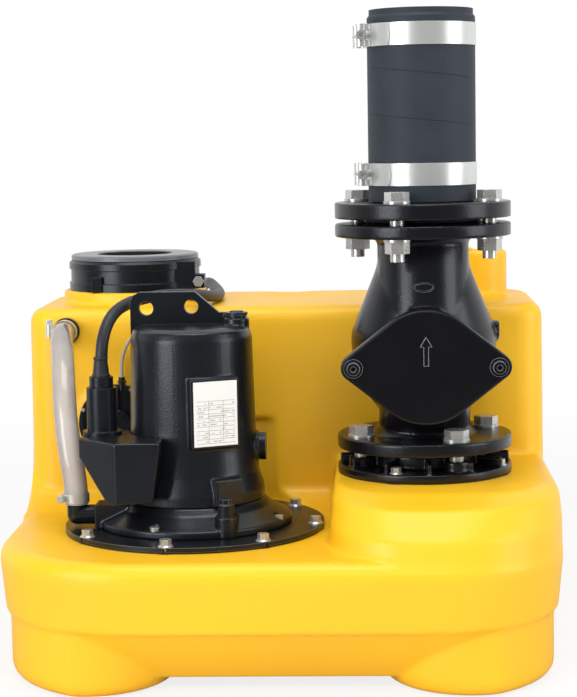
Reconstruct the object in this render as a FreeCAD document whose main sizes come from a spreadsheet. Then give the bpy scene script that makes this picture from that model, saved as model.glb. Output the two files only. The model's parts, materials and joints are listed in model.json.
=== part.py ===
"""Sewage lifting station: a moulded tank with its pump, swing check valve and pipe fittings.

Millimetres. Origin at the middle of the tank's footprint, on the floor.
X runs to the right, Y to the back and Z up.
"""
import FreeCAD, Part
import math
import os

import Sketcher
from FreeCAD import Placement, Rotation, Vector

doc = FreeCAD.newDocument("LiftingStation")
sheet = doc.addObject("Spreadsheet::Sheet", "Sizes")

# Driving dimensions, in groups that follow the sub-assemblies
DRIVING = {
    # Tank
    "tank_half_width": 314.5,
    "tank_half_depth": 292.0,
    "tank_wall": 6.0,
    "tank_front_left_corner": 165.0,
    "tank_front_right_corner": 150.0,
    "tank_back_corner": 60.0,
    "crease_height": 76.0,
    "crease_step": 4.5,
    "bulge_height": 130.0,
    "bulge_draft": 5.0,
    "deck_height": 152.0,
    "deck_rounding": 17.0,
    "belly_height": 15.0,
    "belly_inset": 62.0,
    "foot_radius": 95.0,
    "foot_offset_x": 208.0,
    "foot_front": 171.0,
    "foot_back": 186.0,
    "foot_rounding": 18.0,
    "tower_height": 209.5,
    "tower_margin": 108.0,
    "tower_front_corner": 97.0,
    "tower_lean": 92.0,
    "tower_side_rounding": 8.0,
    "block_half_width": 313.0,
    "block_front": 42.0,
    "block_height": 392.0,
    "block_corner": 34.0,
    "block_rounding": 17.0,
    "shoulder_radius": 88.0,
    "pocket_radius": 158.0,
    "ledge_height": 257.0,
    "scoop_radius": 141.0,
    "scoop_height": 366.0,
    "scoop_rounding": 30.0,
    "dish_x": 0.0,
    "dish_y": 232.0,
    "dish_radius": 52.0,
    "dish_depth": 5.0,
    "insert_radius": 6.0,
    "insert_length": 14.0,
    "fit_gap": 0.05,
    # Inlet
    "inlet_x": -193.0,
    "inlet_y": 172.0,
    "pad_radius": 90.0,
    "pad_height": 15.0,
    "inlet_bore": 46.0,
    "collar_radius": 83.0,
    "collar_height": 38.0,
    "collar_bore": 60.0,
    "seal_radius": 80.0,
    "seal_thickness": 6.0,
    "seal_sleeve_radius": 54.5,
    # Vent stub
    "stub_x": 240.0,
    "stub_y": 200.0,
    "stub_radius": 37.5,
    "stub_height": 449.0,
    # Pump
    "pump_x": -99.0,
    "pump_y": -88.0,
    "plate_radius": 148.0,
    "plate_thickness": 5.0,
    "gasket_thickness": 2.0,
    "plate_bolt_circle": 140.0,
    "plate_hole_radius": 58.5,
    "deck_hole_radius": 104.0,
    "bolt_radius": 4.0,
    "bolt_clearance": 0.6,
    "casting_radius": 111.0,
    "casting_height": 29.0,
    "housing_radius": 72.0,
    "housing_top_radius": 69.0,
    "housing_foot_radius": 81.0,
    "housing_height": 196.0,
    "housing_bore": 62.0,
    "housing_rounding": 12.0,
    "stator_bore": 36.6,
    "rotor_radius": 36.0,
    "core_length": 96.0,
    "shaft_radius": 12.0,
    "shaft_end_radius": 9.0,
    "running_clearance": 0.04,
    "bearing_radius": 21.0,
    "seal_bore": 22.0,
    "nameplate_height_above_foot": 68.2,
    "nameplate_width": 51.0,
    "nameplate_height": 72.0,
    "side_plug_radius": 15.5,
    "bracket_thickness": 8.0,
    "bracket_hole_radius": 8.0,
    "volute_radius": 86.0,
    "volute_wall": 7.0,
    "volute_bottom": 46.0,
    "volute_height": 84.0,
    "volute_flange": 98.0,
    "back_plate_thickness": 7.0,
    "eye_radius": 33.0,
    "impeller_radius": 60.0,
    "impeller_vane_height": 18.0,
    "impeller_disc": 5.0,
    "outlet_radius": 38.0,
    "outlet_bore": 33.0,
    "outlet_height": 88.5,
    # Check valve and flanges
    "valve_x": 165.0,
    "valve_y": -52.6,
    "flange_radius": 100.0,
    "flange_bolt_circle": 80.0,
    "flange_hole_radius": 9.0,
    "valve_niche": 4.0,
    "flange_bolt_radius": 8.0,
    "flange_bolt_across": 24.0,
    "flange_thickness": 15.0,
    "stub_flange_thickness": 18.0,
    "raised_face_radius": 66.0,
    "raised_face": 2.0,
    "tank_flange_ring": 9.0,
    "tank_flange_height": 24.0,
    "valve_length": 260.0,
    "valve_neck_radius": 51.0,
    "valve_bore": 40.0,
    "valve_bulge_radius": 83.0,
    "valve_wall": 8.0,
    "port_height": 103.0,
    "port_face": 88.0,
    "port_big_radius": 63.5,
    "port_small_radius": 14.0,
    "port_screw_offset": 80.0,
    "cover_thickness": 11.0,
    "cover_gasket": 2.0,
    "hinge_back": 52.0,
    "hinge_height": 124.0,
    "seat_tilt": 30.0,
    "flap_radius": 51.0,
    "flap_thickness": 8.0,
    "flap_pin_radius": 4.0,
    # Sleeve
    "sleeve_radius": 61.0,
    "sleeve_bore": 55.3,
    "sleeve_height": 214.0,
    "sleeve_stop": 3.0,
    "stub_pipe_radius": 55.0,
    "stub_pipe_bore": 50.0,
    "stub_pipe_length": 72.0,
    "band_width": 25.0,
    "band_thickness": 1.0,
    "lower_band_height": 18.0,
    "upper_band_height": 173.0,
    # Hose, cable and sensor
    "hose_radius": 13.5,
    "hose_bore": 10.5,
    "cable_radius": 7.0,
    "coil_radius": 84.0,
    "coil_pitch": 14.8,
    "sensor_tube_radius": 2.0,
    "sensor_x": -202.0,
    "sensor_z": 254.0,
    "sensor_radius": 47.0,
}


class Size:
    """A length with its value and the sheet formula that gives it."""

    def __init__(self, value, formula):
        self.value = float(value)
        self.formula = formula

    def __add__(self, other):
        other = as_size(other)
        return Size(self.value + other.value, f"({self.formula} + {other.formula})")

    def __sub__(self, other):
        other = as_size(other)
        return Size(self.value - other.value, f"({self.formula} - {other.formula})")

    def __mul__(self, other):
        other = as_size(other)
        return Size(self.value * other.value, f"({self.formula} * {other.formula})")

    def __truediv__(self, other):
        other = as_size(other)
        return Size(self.value / other.value, f"({self.formula} / {other.formula})")

    def __neg__(self):
        return Size(-self.value, f"(0 - {self.formula})")

    __radd__ = __add__
    __rmul__ = __mul__

    def __rsub__(self, other):
        return as_size(other) - self

    def __float__(self):
        return self.value


def as_size(number):
    """Turn a plain number into a Size, and leave a Size alone."""
    if isinstance(number, Size):
        return number
    return Size(number, f"({float(number):.6f})")


class Sizes:
    """The driving dimensions by name, each tied to its cell."""


def fill_sheet():
    """Write every driving dimension to the sheet and return them by name."""
    named = Sizes()
    for row, (alias, value) in enumerate(DRIVING.items(), start=1):
        sheet.set(f"A{row}", alias)
        sheet.set(f"B{row}", str(value))
        sheet.setAlias(f"B{row}", alias)
        setattr(named, alias, Size(value, f"Sizes.{alias}"))
    doc.recompute()
    for alias in DRIVING:
        getattr(named, alias).value = float(sheet.get(alias))
    return named


S = fill_sheet()
PIECES = {}

# Helpers that make bound primitives

TURNS = {
    "Z": Rotation(),
    "X": Rotation(Vector(0, 0, 1), Vector(1, 0, 0)),
    "-X": Rotation(Vector(0, 0, 1), Vector(-1, 0, 0)),
    "Y": Rotation(Vector(0, 0, 1), Vector(0, 1, 0)),
    "-Y": Rotation(Vector(0, 0, 1), Vector(0, -1, 0)),
}


def bind(item, attribute, size):
    """Tie one property of an object to the sheet."""
    size = as_size(size)
    if "Sizes." in size.formula:
        item.setExpression(attribute, size.formula)
    elif attribute.startswith("Placement.Base."):
        base = item.Placement.Base
        setattr(base, attribute[-1], size.value)
        item.Placement = Placement(base, item.Placement.Rotation)
    else:
        setattr(item, attribute, size.value)


def place(item, at, turn=None):
    """Put an object at a bound place with a fixed turn."""
    item.Placement = Placement(Vector(*[float(c) for c in at]), turn or Rotation())
    for axis, size in zip("xyz", at):
        bind(item, f"Placement.Base.{axis}", size)
    return item


def cylinder(radius, height, at, axis="Z"):
    """Make a cylinder that starts at a point and runs along an axis."""
    item = doc.addObject("Part::Cylinder", "Cylinder")
    bind(item, "Radius", radius)
    bind(item, "Height", height)
    return place(item, at, TURNS[axis])


def cone(start_radius, end_radius, height, at, axis="Z"):
    """Make a cone that starts at a point and runs along an axis."""
    item = doc.addObject("Part::Cone", "Cone")
    bind(item, "Radius1", start_radius)
    bind(item, "Radius2", end_radius)
    bind(item, "Height", height)
    return place(item, at, TURNS[axis])


def hexagon(across_flats, height, at, axis="Z"):
    """Make a hexagonal prism from its size across flats."""
    item = doc.addObject("Part::Prism", "Hexagon")
    item.Polygon = 6
    bind(item, "Circumradius", as_size(across_flats) / math.sqrt(3))
    bind(item, "Height", height)
    return place(item, at, TURNS[axis])


def block(low, high):
    """Make a box between two corners."""
    item = doc.addObject("Part::Box", "Box")
    for name, start, end in zip(("Length", "Width", "Height"), low, high):
        bind(item, name, as_size(end) - start)
    return place(item, low)


def cut(base, *tools):
    """Cut one or more objects from a base."""
    item = doc.addObject("Part::Cut", "Cut")
    item.Base = base
    item.Tool = tools[0] if len(tools) == 1 else fuse(*tools)
    return item


def fuse(*parts):
    """Join objects into one solid."""
    item = doc.addObject("Part::MultiFuse", "Fuse")
    item.Shapes = list(parts)
    return item


def common(first, second):
    """Keep what two objects share."""
    item = doc.addObject("Part::Common", "Common")
    item.Base = first
    item.Tool = second
    return item


def group(parts):
    """Hold separate solids in one object."""
    item = doc.addObject("Part::Compound", "Group")
    item.Links = list(parts)
    return item


def tube(outer, inner, height, at, axis="Z"):
    """Make a plain ring or tube."""
    return cut(cylinder(outer, height, at, axis), cylinder(inner, height, at, axis))


def prism(points, depth, at, turn=None):
    """Make a body by padding a closed outline of straight lines, each corner bound to the sheet."""
    body = doc.addObject("PartDesign::Body", "Body")
    sketch = outline_sketch(body, "XY_Plane", points)
    pad = body.newObject("PartDesign::Pad", "Pad")
    pad.Profile = sketch
    bind(pad, "Length", depth)
    body.Tip = pad
    return place(body, at, turn)


def spun(profile, at, turn=None):
    """Make a body by turning a profile of radius and height pairs about its own upright axis."""
    body = doc.addObject("PartDesign::Body", "Body")
    sketch = outline_sketch(body, "XZ_Plane", profile)
    turned = body.newObject("PartDesign::Revolution", "Revolution")
    turned.Profile = sketch
    turned.ReferenceAxis = (sketch, ["V_Axis"])
    turned.Angle = 360
    body.Tip = turned
    return place(body, at, turn)


def outline_sketch(body, role, points):
    """Draw a closed outline in a sketch, with both coordinates of each corner bound to the sheet."""
    sketch = body.newObject("Sketcher::SketchObject", "Outline")
    plane = [feature for feature in body.Origin.OriginFeatures if feature.Role == role][0]
    sketch.AttachmentSupport = [(plane, "")]
    sketch.MapMode = "FlatFace"
    corners = [(as_size(across), as_size(up)) for across, up in points]
    vectors = [Vector(across.value, up.value, 0) for across, up in corners]
    lines = [Part.LineSegment(start, end) for start, end in zip(vectors, vectors[1:] + vectors[:1])]
    sketch.addGeometry(lines, False)
    for number in range(len(lines)):
        after = (number + 1) % len(lines)
        sketch.addConstraint(Sketcher.Constraint("Coincident", number, 2, after, 1))
    for number, (across, up) in enumerate(corners):
        hold_corner(sketch, number, "X", across)
        hold_corner(sketch, number, "Y", up)
    return sketch


def hold_corner(sketch, number, axis, size):
    """Hold one coordinate of a corner, on the axis where it is zero."""
    if abs(size.value) < 1e-9 and "Sizes." not in size.formula:
        line = -2 if axis == "X" else -1
        sketch.addConstraint(Sketcher.Constraint("PointOnObject", number, 1, line))
        return
    constraint = Sketcher.Constraint("Distance" + axis, -1, 1, number, 1, size.value)
    index = sketch.addConstraint(constraint)
    if "Sizes." in size.formula:
        bind(sketch, f"Constraints[{index}]", size)


def solid_feature(shape):
    """Hold a shape that Part's own functions made."""
    item = doc.addObject("Part::Feature", "Form")
    item.Shape = shape
    return item


def piece(label, item):
    """Give a sub-part its name."""
    item.Label = label
    PIECES[label] = item
    return item


def ring_points(count, radius, start, centre):
    """Points of a bolt circle, as bound coordinates, with the angle counted from the front."""
    points = []
    for number in range(count):
        angle = math.radians(start + 360.0 * number / count)
        points.append((centre[0] + radius * math.sin(angle), centre[1] - radius * math.cos(angle)))
    return points


# Places that several sub-parts share

PUMP = (S.pump_x, S.pump_y)
VALVE = (S.valve_x, S.valve_y)
INLET = (S.inlet_x, S.inlet_y)
deck_seat = S.deck_height + S.gasket_thickness
plate_top = deck_seat + S.plate_thickness
housing_base = plate_top + S.casting_height
housing_top = housing_base + S.housing_height
tower_seat = S.tower_height + 1.5
valve_seat = tower_seat + S.tank_flange_height
valve_base = valve_seat + S.gasket_thickness
valve_top = valve_base + S.valve_length
stub_base = valve_top + S.gasket_thickness
stub_top = stub_base + S.raised_face + S.stub_flange_thickness
sleeve_base = stub_top + 1.0
PLATE_BOLTS = ring_points(8, S.plate_bolt_circle, -8.0, PUMP)
RING_SCREWS = ring_points(4, S.flange_radius - 9.0, -22.0, VALVE)
LOWER_BOLTS = ring_points(4, S.flange_bolt_circle, 25.0, VALVE)
UPPER_BOLTS = ring_points(4, S.flange_bolt_circle, -22.0, VALVE)


HOSE_END = (-262.0, 42.0, 366.0)
SENSOR_STEM = 20.0
GROMMET = (-150.0, 372.0)
GROMMET_RADIUS = 4.5


# Tank

def rounded_outline(low, high, corners, height):
    """Closed outline of a rectangle with a radius at each corner, front left first, anticlockwise."""
    (left, front), (right, back) = low, high
    spots = [(left, front, 1, 1), (right, front, -1, 1), (right, back, -1, -1), (left, back, 1, -1)]
    turns = [math.pi, 1.5 * math.pi, 0.0, 0.5 * math.pi]
    arcs = []
    for (x, y, way_x, way_y), radius, start in zip(spots, corners, turns):
        centre = Vector(x + way_x * radius, y + way_y * radius, height)
        ends = [centre + Vector(radius * math.cos(start + turn), radius * math.sin(start + turn), 0)
                for turn in (0.0, math.pi / 4, math.pi / 2)]
        arcs.append(ends)
    edges = []
    for ends, following in zip(arcs, arcs[1:] + arcs[:1]):
        edges.append(Part.Arc(*ends).toShape())
        edges.append(Part.LineSegment(ends[2], following[0]).toShape())
    return Part.Wire(edges)


def lofted(outlines):
    """Solid between outlines, with straight walls."""
    return Part.makeLoft(outlines, True, True)


def round_top(solid, height, radius):
    """Round the edges of a solid that lie at one height."""
    edges = [edge for edge in solid.Edges
             if abs(edge.BoundBox.ZMin - height) < 1e-4 and abs(edge.BoundBox.ZMax - height) < 1e-4]
    return solid.makeFillet(radius, edges)


def upright(radius, x, y, low, high):
    """Plain upright cylinder between two heights."""
    return Part.makeCylinder(radius, high - low, Vector(x, y, low))


def lower_outline(inward, height):
    """Outline of the lower body, set in from its widest line."""
    half_width = S.tank_half_width.value - inward
    half_depth = S.tank_half_depth.value - inward
    corners = [S.tank_front_left_corner.value, S.tank_front_right_corner.value]
    corners += [S.tank_back_corner.value, S.tank_back_corner.value]
    return rounded_outline((-half_width, -half_depth), (half_width, half_depth),
                           [radius - inward for radius in corners], height)


def tank_body(inset):
    """Bulged lower body from the crease to the deck."""
    top = S.deck_height.value - inset
    levels = [(S.crease_height.value + inset, S.bulge_draft.value), (S.bulge_height.value, 0.0), (top, 0.0)]
    outlines = [lower_outline(inset + draft, height) for height, draft in levels]
    return round_top(lofted(outlines), top, S.deck_rounding.value - inset / 2)


def tank_base(inset):
    """Feet and the raised belly between them, below the crease."""
    step = S.bulge_draft.value + S.crease_step.value
    half_width = S.tank_half_width.value - step - inset
    half_depth = S.tank_half_depth.value - step - inset
    draft = S.belly_inset.value - step
    corners = [S.tank_front_left_corner.value, S.tank_front_right_corner.value]
    corners += [S.tank_back_corner.value, S.tank_back_corner.value]
    low_corners = [max(radius - step - inset - draft / 2, 20.0) for radius in corners]
    belly_low = rounded_outline((-half_width + draft / 2, -half_depth + draft),
                                (half_width - draft / 2, half_depth - draft), low_corners,
                                S.belly_height.value + inset)
    top_height = S.crease_height.value + 2.5 * inset
    belly = lofted([belly_low, lower_outline(step + inset, S.crease_height.value),
                    lower_outline(step + inset, top_height + 1.0)])
    limit = Part.Face(lower_outline(step + inset, inset)).extrude(Vector(0, 0, top_height - inset))
    radius = S.foot_radius.value - inset
    for x in (-S.foot_offset_x.value, S.foot_offset_x.value):
        for y in (-S.foot_front.value, S.foot_back.value):
            foot = upright(radius, x, y, inset, top_height).common(limit)
            edges = [edge for edge in foot.Edges if edge.BoundBox.ZMax < inset + 1e-4]
            belly = belly.fuse(foot.makeFillet(S.foot_rounding.value - inset / 2, edges))
    return belly


def tank_tower(inset):
    """Raised shoulder that carries the discharge flange, with a front that leans back."""
    flush = 0.5
    left = S.valve_x.value - S.tower_margin.value + inset
    right = S.tank_half_width.value - flush - inset
    front = -S.tank_half_depth.value + flush + inset
    back = S.block_front.value + S.block_corner.value + inset
    near_left = S.tower_front_corner.value - inset
    near_right = S.tank_front_right_corner.value - flush - inset
    far = 12.0
    base = S.bulge_height.value
    top = S.tower_height.value - inset
    lean = S.tower_lean.value
    lean_height = 0.95 * (top - base)
    outlines = [rounded_outline((left, front), (right, back), [near_left, near_right, far, far], base)]
    # Quarter of an ellipse at the front, and a tighter turn at the right
    for turn in (0.0, 30.0, 60.0, 90.0):
        inward = 1.0 - math.cos(math.radians(turn))
        upward = math.sin(math.radians(turn))
        low = (left + 6.0 * inward, front + lean * inward)
        high = (right - S.tower_side_rounding.value * inward ** 2, back - 2.0 * inward)
        eased = [near_left - 0.2 * lean * inward, near_right - 0.7 * lean * inward, far, far]
        outlines.append(rounded_outline(low, high, eased, top - lean_height * (1.0 - upward)))
    return lofted(outlines)


def tank_block(inset):
    """Tall back block with a slight taper."""
    half_width = S.block_half_width.value - inset
    front = S.block_front.value + inset
    back = S.tank_half_depth.value - 1.0 - inset
    corner = S.block_corner.value - inset
    far = S.tank_back_corner.value - inset
    top = S.block_height.value - inset
    taper = 2.0
    outlines = []
    for height, draft in ((S.bulge_height.value, 0.0), (top, taper)):
        low = (-half_width + draft, front + draft)
        high = (half_width - draft, back - draft)
        outlines.append(rounded_outline(low, high, [corner, corner, far, far], height))
    return round_top(lofted(outlines), top, S.block_rounding.value - inset)


def tank_shoulder(inset):
    """Hollowed slope that rises from the deck to the block's front on the left."""
    radius = S.shoulder_radius.value + inset
    wall = S.block_front.value + inset + S.block_corner.value
    deck = S.deck_height.value - inset
    left = -S.tank_half_width.value + inset + 1.5
    front = wall - radius
    middle = Vector(left, front + radius * math.sin(math.pi / 4), deck + radius * (1 - math.cos(math.pi / 4)))
    start = Vector(left, front, deck)
    end = Vector(left, wall, deck + radius)
    corner = Vector(left, wall, S.bulge_height.value)
    base = Vector(left, front, S.bulge_height.value)
    profile = Part.Wire([
        Part.Arc(start, middle, end).toShape(),
        Part.LineSegment(end, corner).toShape(),
        Part.LineSegment(corner, base).toShape(),
        Part.LineSegment(base, start).toShape(),
    ])
    width = S.valve_x.value - left
    return Part.Face(profile).extrude(Vector(width, 0, 0))


def tank_form(inset):
    """Whole outer form of the tank, or the same form set in by the wall."""
    form = tank_body(inset).fuse([tank_base(inset), tank_tower(inset), tank_block(inset), tank_shoulder(inset)])
    pump_x, pump_y = S.pump_x.value, S.pump_y.value
    deck = S.deck_height.value - inset
    pocket = upright(S.pocket_radius.value + inset, pump_x, pump_y, deck, S.ledge_height.value + inset)
    scoop = upright(S.scoop_radius.value + inset, pump_x, pump_y, deck, S.scoop_height.value + inset)
    edges = [edge for edge in scoop.Edges if edge.BoundBox.ZMin > deck + 1.0]
    scoop = scoop.makeFillet(S.scoop_rounding.value, edges)
    niche = upright(S.flange_radius.value + S.valve_niche.value + inset, S.valve_x.value, S.valve_y.value,
                    S.tower_height.value - inset, S.stub_height.value)
    form = form.cut([pocket.fuse(scoop), niche])
    boss_depth = S.pocket_radius.value * 0.4
    boss = Part.makeCylinder(S.sensor_radius.value + 4.0 - inset, boss_depth,
                             Vector(S.sensor_x.value, S.block_front.value - 1.0 + inset, S.sensor_z.value),
                             Vector(0, 1, 0))
    pad_top = S.block_height.value + S.pad_height.value - inset
    pad = upright(S.pad_radius.value - inset, *[size.value for size in INLET], S.deck_height.value, pad_top)
    stub = upright(S.stub_radius.value - inset, S.stub_x.value, S.stub_y.value, S.deck_height.value,
                   S.stub_height.value - inset)
    stub = stub.makeFillet(5.0, [edge for edge in stub.Edges if edge.BoundBox.ZMin > stub.BoundBox.ZMax - 0.01])
    return form.fuse([boss, pad, stub])


def tank_shell():
    """Moulded shell with its openings and the bosses that hold the inserts."""
    wall = S.tank_wall.value
    shell = tank_form(0.0).cut(tank_form(wall))
    boss_radius = S.insert_radius.value + 5.0
    bosses = []
    sockets = []
    depth = S.insert_length.value
    for points, top in ((PLATE_BOLTS, S.deck_height.value), (RING_SCREWS, S.tower_height.value)):
        for x, y in points:
            bosses.append(upright(boss_radius, x.value, y.value, top - depth - 5.0, top - 0.5 * wall))
            sockets.append(upright(S.insert_radius.value, x.value, y.value, top - depth, top + 1.0))
    high = S.block_height.value
    # The wall is thicker under the dish
    bosses.append(upright(S.dish_radius.value + wall, S.dish_x.value, S.dish_y.value,
                          high - wall - S.dish_depth.value, high - 0.5 * wall))
    shell = shell.fuse(bosses)
    pump_x, pump_y = S.pump_x.value, S.pump_y.value
    valve_x, valve_y = S.valve_x.value, S.valve_y.value
    inlet_x, inlet_y = S.inlet_x.value, S.inlet_y.value
    dish = Part.makeSphere(S.dish_radius.value ** 2 / (2 * S.dish_depth.value),
                           Vector(S.dish_x.value, S.dish_y.value,
                                  high - S.dish_depth.value + S.dish_radius.value ** 2 / (2 * S.dish_depth.value)))
    tools = [
        upright(S.deck_hole_radius.value, pump_x, pump_y, S.deck_height.value - 2 * wall, S.deck_height.value + 1),
        upright(S.outlet_radius.value + 9.0, valve_x, valve_y, S.tower_height.value - 2 * wall,
                S.tower_height.value + 1),
        upright(S.seal_sleeve_radius.value + 0.3, inlet_x, inlet_y, high - 2 * wall, high + S.pad_height.value + 1),
        upright(S.stub_radius.value - wall, S.stub_x.value, S.stub_y.value, high, S.stub_height.value + 1),
        Part.makeCylinder(6.3, 4 * wall, Vector(HOSE_END[0], S.block_front.value - 2 * wall, HOSE_END[2]),
                          Vector(0, 1, 0)),
        Part.makeCylinder(SENSOR_STEM, 4 * wall,
                          Vector(S.sensor_x.value, S.block_front.value - 2 * wall, S.sensor_z.value),
                          Vector(0, 1, 0)),
        Part.makeCylinder(GROMMET_RADIUS + 0.1, 4 * wall,
                          Vector(GROMMET[0], S.block_front.value - 2 * wall, GROMMET[1]), Vector(0, 1, 0)),
    ]
    for tool in tools:
        shell = shell.cut(tool)
    return shell.cut(sockets).cut(dish)


piece("tank", solid_feature(tank_shell()))

# Tank fittings

def insert_at(point, top):
    """Threaded brass insert, moulded into a boss of the tank."""
    x, y = point
    outer = S.insert_radius - S.fit_gap
    return tube(outer, S.bolt_radius + S.fit_gap, S.insert_length, (x, y, top - S.insert_length))


def flanged_bolt(radius, length, across, head, skirt, point, seat):
    """Hexagon bolt with a flange under its head, and a shank that runs down from its seat."""
    x, y = point
    shank = cylinder(radius, length + 1.0, (x, y, seat - length))
    washer = cone(skirt, skirt * 0.8, head * 0.25, (x, y, seat))
    top = hexagon(across, head * 0.85, (x, y, seat + head * 0.15))
    return fuse(shank, washer, top)


def plain_bolt(radius, length, across, head, point, seat):
    """Hexagon bolt whose shank runs down from its seat."""
    x, y = point
    return fuse(cylinder(radius, length + 1.0, (x, y, seat - length)), hexagon(across, head, (x, y, seat)))


inserts = [insert_at(point, S.deck_height) for point in PLATE_BOLTS]
inserts += [insert_at(point, S.tower_height) for point in RING_SCREWS]
piece("tank_inserts", group(inserts))

pad_seat = S.block_height + S.pad_height
collar_top = pad_seat + S.collar_height
bolt_line = pad_seat + 11.5
ear_x = S.inlet_x + S.collar_radius * 0.86
ear_y = S.inlet_y - S.collar_radius * 0.55


def inlet_collar():
    """Black clamping collar round the inlet seal, with its two ears at the right."""
    x, y = INLET
    half = S.collar_height / 2
    body = spun([
        (S.collar_bore, 0.0), (S.collar_radius, 0.0), (S.collar_radius, half * 0.5),
        (S.collar_radius - 2.0, half * 0.55), (S.collar_radius - 2.0, half * 1.35),
        (S.collar_radius, half * 1.4), (S.collar_radius, half * 1.8), (S.collar_radius - 4.0, S.collar_height),
        (S.collar_bore, S.collar_height),
    ], (x, y, pad_seat))
    ears = []
    for near in (ear_y - 13.0, ear_y + 1.0):
        ears.append(block((ear_x - 16.0, near, pad_seat + 3.0), (ear_x + 10.0, near + 6.0, collar_top - 2.0)))
        ears.append(block((ear_x - 16.0, near, pad_seat + 3.0), (ear_x + 21.0, near + 6.0, bolt_line + 8.5)))
    bolt_hole = cylinder(S.bolt_radius + 0.3, 40.0, (ear_x + 14.0, ear_y - 20.0, bolt_line), "Y")
    lug = block((x - 45.0, y - S.collar_radius + 4.0, pad_seat + 1.0),
                (x - 33.0, y - S.collar_radius + 18.0, pad_seat + half))
    ears_cut = cut(fuse(*ears), bolt_hole, cylinder(S.collar_bore + 1.0, S.collar_height, (x, y, pad_seat)))
    return fuse(body, ears_cut, lug)


piece("inlet_collar", inlet_collar())
collar_bolt = fuse(
    cylinder(S.bolt_radius, 32.0, (ear_x + 14.0, ear_y - 18.0, bolt_line), "Y"),
    hexagon(12.0, 6.0, (ear_x + 14.0, ear_y - 19.0, bolt_line), "Y"),
    hexagon(12.0, 6.0, (ear_x + 14.0, ear_y + 7.2, bolt_line), "Y"),
)
piece("inlet_seal", spun([
    (S.inlet_bore, -20.0), (S.seal_sleeve_radius, -20.0), (S.seal_sleeve_radius, S.collar_height),
    (S.seal_radius, S.collar_height), (S.seal_radius, S.collar_height + S.seal_thickness - 1.5),
    (S.seal_radius - 2.0, S.collar_height + S.seal_thickness),
    (S.inlet_bore + 2.0, S.collar_height + S.seal_thickness), (S.inlet_bore, S.collar_height),
], (*INLET, pad_seat)))

# Level sensor in the front of the block

sensor_face = S.block_front - 1.0


def cover_rib(angle):
    """Radial rib in the recess of the sensor's cover."""
    rib = doc.addObject("Part::Box", "Rib")
    bind(rib, "Length", 3.0)
    bind(rib, "Width", 4.0)
    bind(rib, "Height", S.sensor_radius - 18.0)
    way = math.radians(angle)
    start = (S.sensor_x + 14.0 * math.sin(way) - 1.5 * math.cos(way), sensor_face - 7.0,
             S.sensor_z + 14.0 * math.cos(way) + 1.5 * math.sin(way))
    return place(rib, start, Rotation(Vector(0, 1, 0), angle))


piece("sensor_cover", fuse(
    cut(cylinder(S.sensor_radius, 8.0, (S.sensor_x, sensor_face, S.sensor_z), "-Y"),
        cylinder(S.sensor_radius - 5.0, 5.0, (S.sensor_x, sensor_face - 3.0, S.sensor_z), "-Y")),
    cylinder(16.0, 12.0, (S.sensor_x, sensor_face - 1.0, S.sensor_z), "-Y"),
    cylinder(SENSOR_STEM - 0.4, 40.0, (S.sensor_x, sensor_face - 1.0, S.sensor_z), "Y"),
    *[cover_rib(60.0 * number) for number in range(6)],
))
rim_screws = []
for number in range(8):
    angle = math.radians(22.5 + 45.0 * number)
    spot = (S.sensor_x + (S.sensor_radius - 2.5) * math.sin(angle), sensor_face - 8.0,
            S.sensor_z + (S.sensor_radius - 2.5) * math.cos(angle))
    rim_screws.append(cylinder(2.2, 2.0, spot, "-Y"))
piece("sensor_cover_screws", group(rim_screws))
NIPPLE = (S.sensor_x + 6.0, sensor_face - 5.0)
nipple_base = S.sensor_z + S.sensor_radius
sensor_nipple = cut(
    fuse(cylinder(3.9, 16.0, (*NIPPLE, nipple_base - 7.0)), hexagon(9.0, 3.0, (*NIPPLE, nipple_base + 2.0))),
    cylinder(S.sensor_radius, 8.0, (S.sensor_x, sensor_face, S.sensor_z), "-Y"),
    cylinder(S.sensor_tube_radius + 0.1, 20.0, (*NIPPLE, nipple_base + 4.0)))
tube_grommet = cut(
    fuse(cylinder(GROMMET_RADIUS, 12.0, (GROMMET[0], S.block_front + 13.0, GROMMET[1]), "-Y"),
         cylinder(GROMMET_RADIUS + 2.0, 2.0, (GROMMET[0], S.block_front + 1.6, GROMMET[1]), "-Y")),
    cylinder(S.sensor_tube_radius + 0.1, 9.0, (GROMMET[0], S.block_front + 6.0, GROMMET[1]), "-Y"))
piece("sensor_tube_fittings", group([sensor_nipple, tube_grommet]))


# Paths of arcs and straight runs

def rounded_path(points, share=0.45):
    """Straight runs joined by tangent arcs, each as large as its two runs allow. Prints the radii."""
    spots = [Vector(*point) for point in points]
    edges = []
    radii = []
    last = spots[0]
    for before, here, after in zip(spots, spots[1:], spots[2:]):
        incoming = (here - before).normalize()
        outgoing = (after - here).normalize()
        reach = share * min((here - before).Length, (after - here).Length)
        turn = incoming.getAngle(outgoing)
        radii.append(reach / math.tan(turn / 2))
        start = here - incoming * reach
        end = here + outgoing * reach
        inward = (outgoing - incoming).normalize()
        centre = here + inward * (radii[-1] / math.cos(turn / 2))
        middle = centre - inward * radii[-1]
        edges.append(Part.LineSegment(last, start).toShape())
        edges.append(Part.Arc(start, middle, end).toShape())
        last = end
    edges.append(Part.LineSegment(last, spots[-1]).toShape())
    return Part.Wire(edges), radii


def biarc(start, start_way, end, end_way):
    """Two tangent arcs between two points with given directions."""
    span = end - start
    ways = start_way + end_way
    low = 2.0 * (1.0 - start_way.dot(end_way))
    middle = span.dot(ways)
    if abs(low) < 1e-9:
        reach = span.dot(span) / (4.0 * span.dot(end_way))
    else:
        reach = (-middle + math.sqrt(middle * middle + low * span.dot(span))) / low
    first = start + start_way * reach
    second = end - end_way * reach
    joint = (first + second) * 0.5
    return [arc_from(start, first, joint), arc_from(joint, second, end)]


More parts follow.
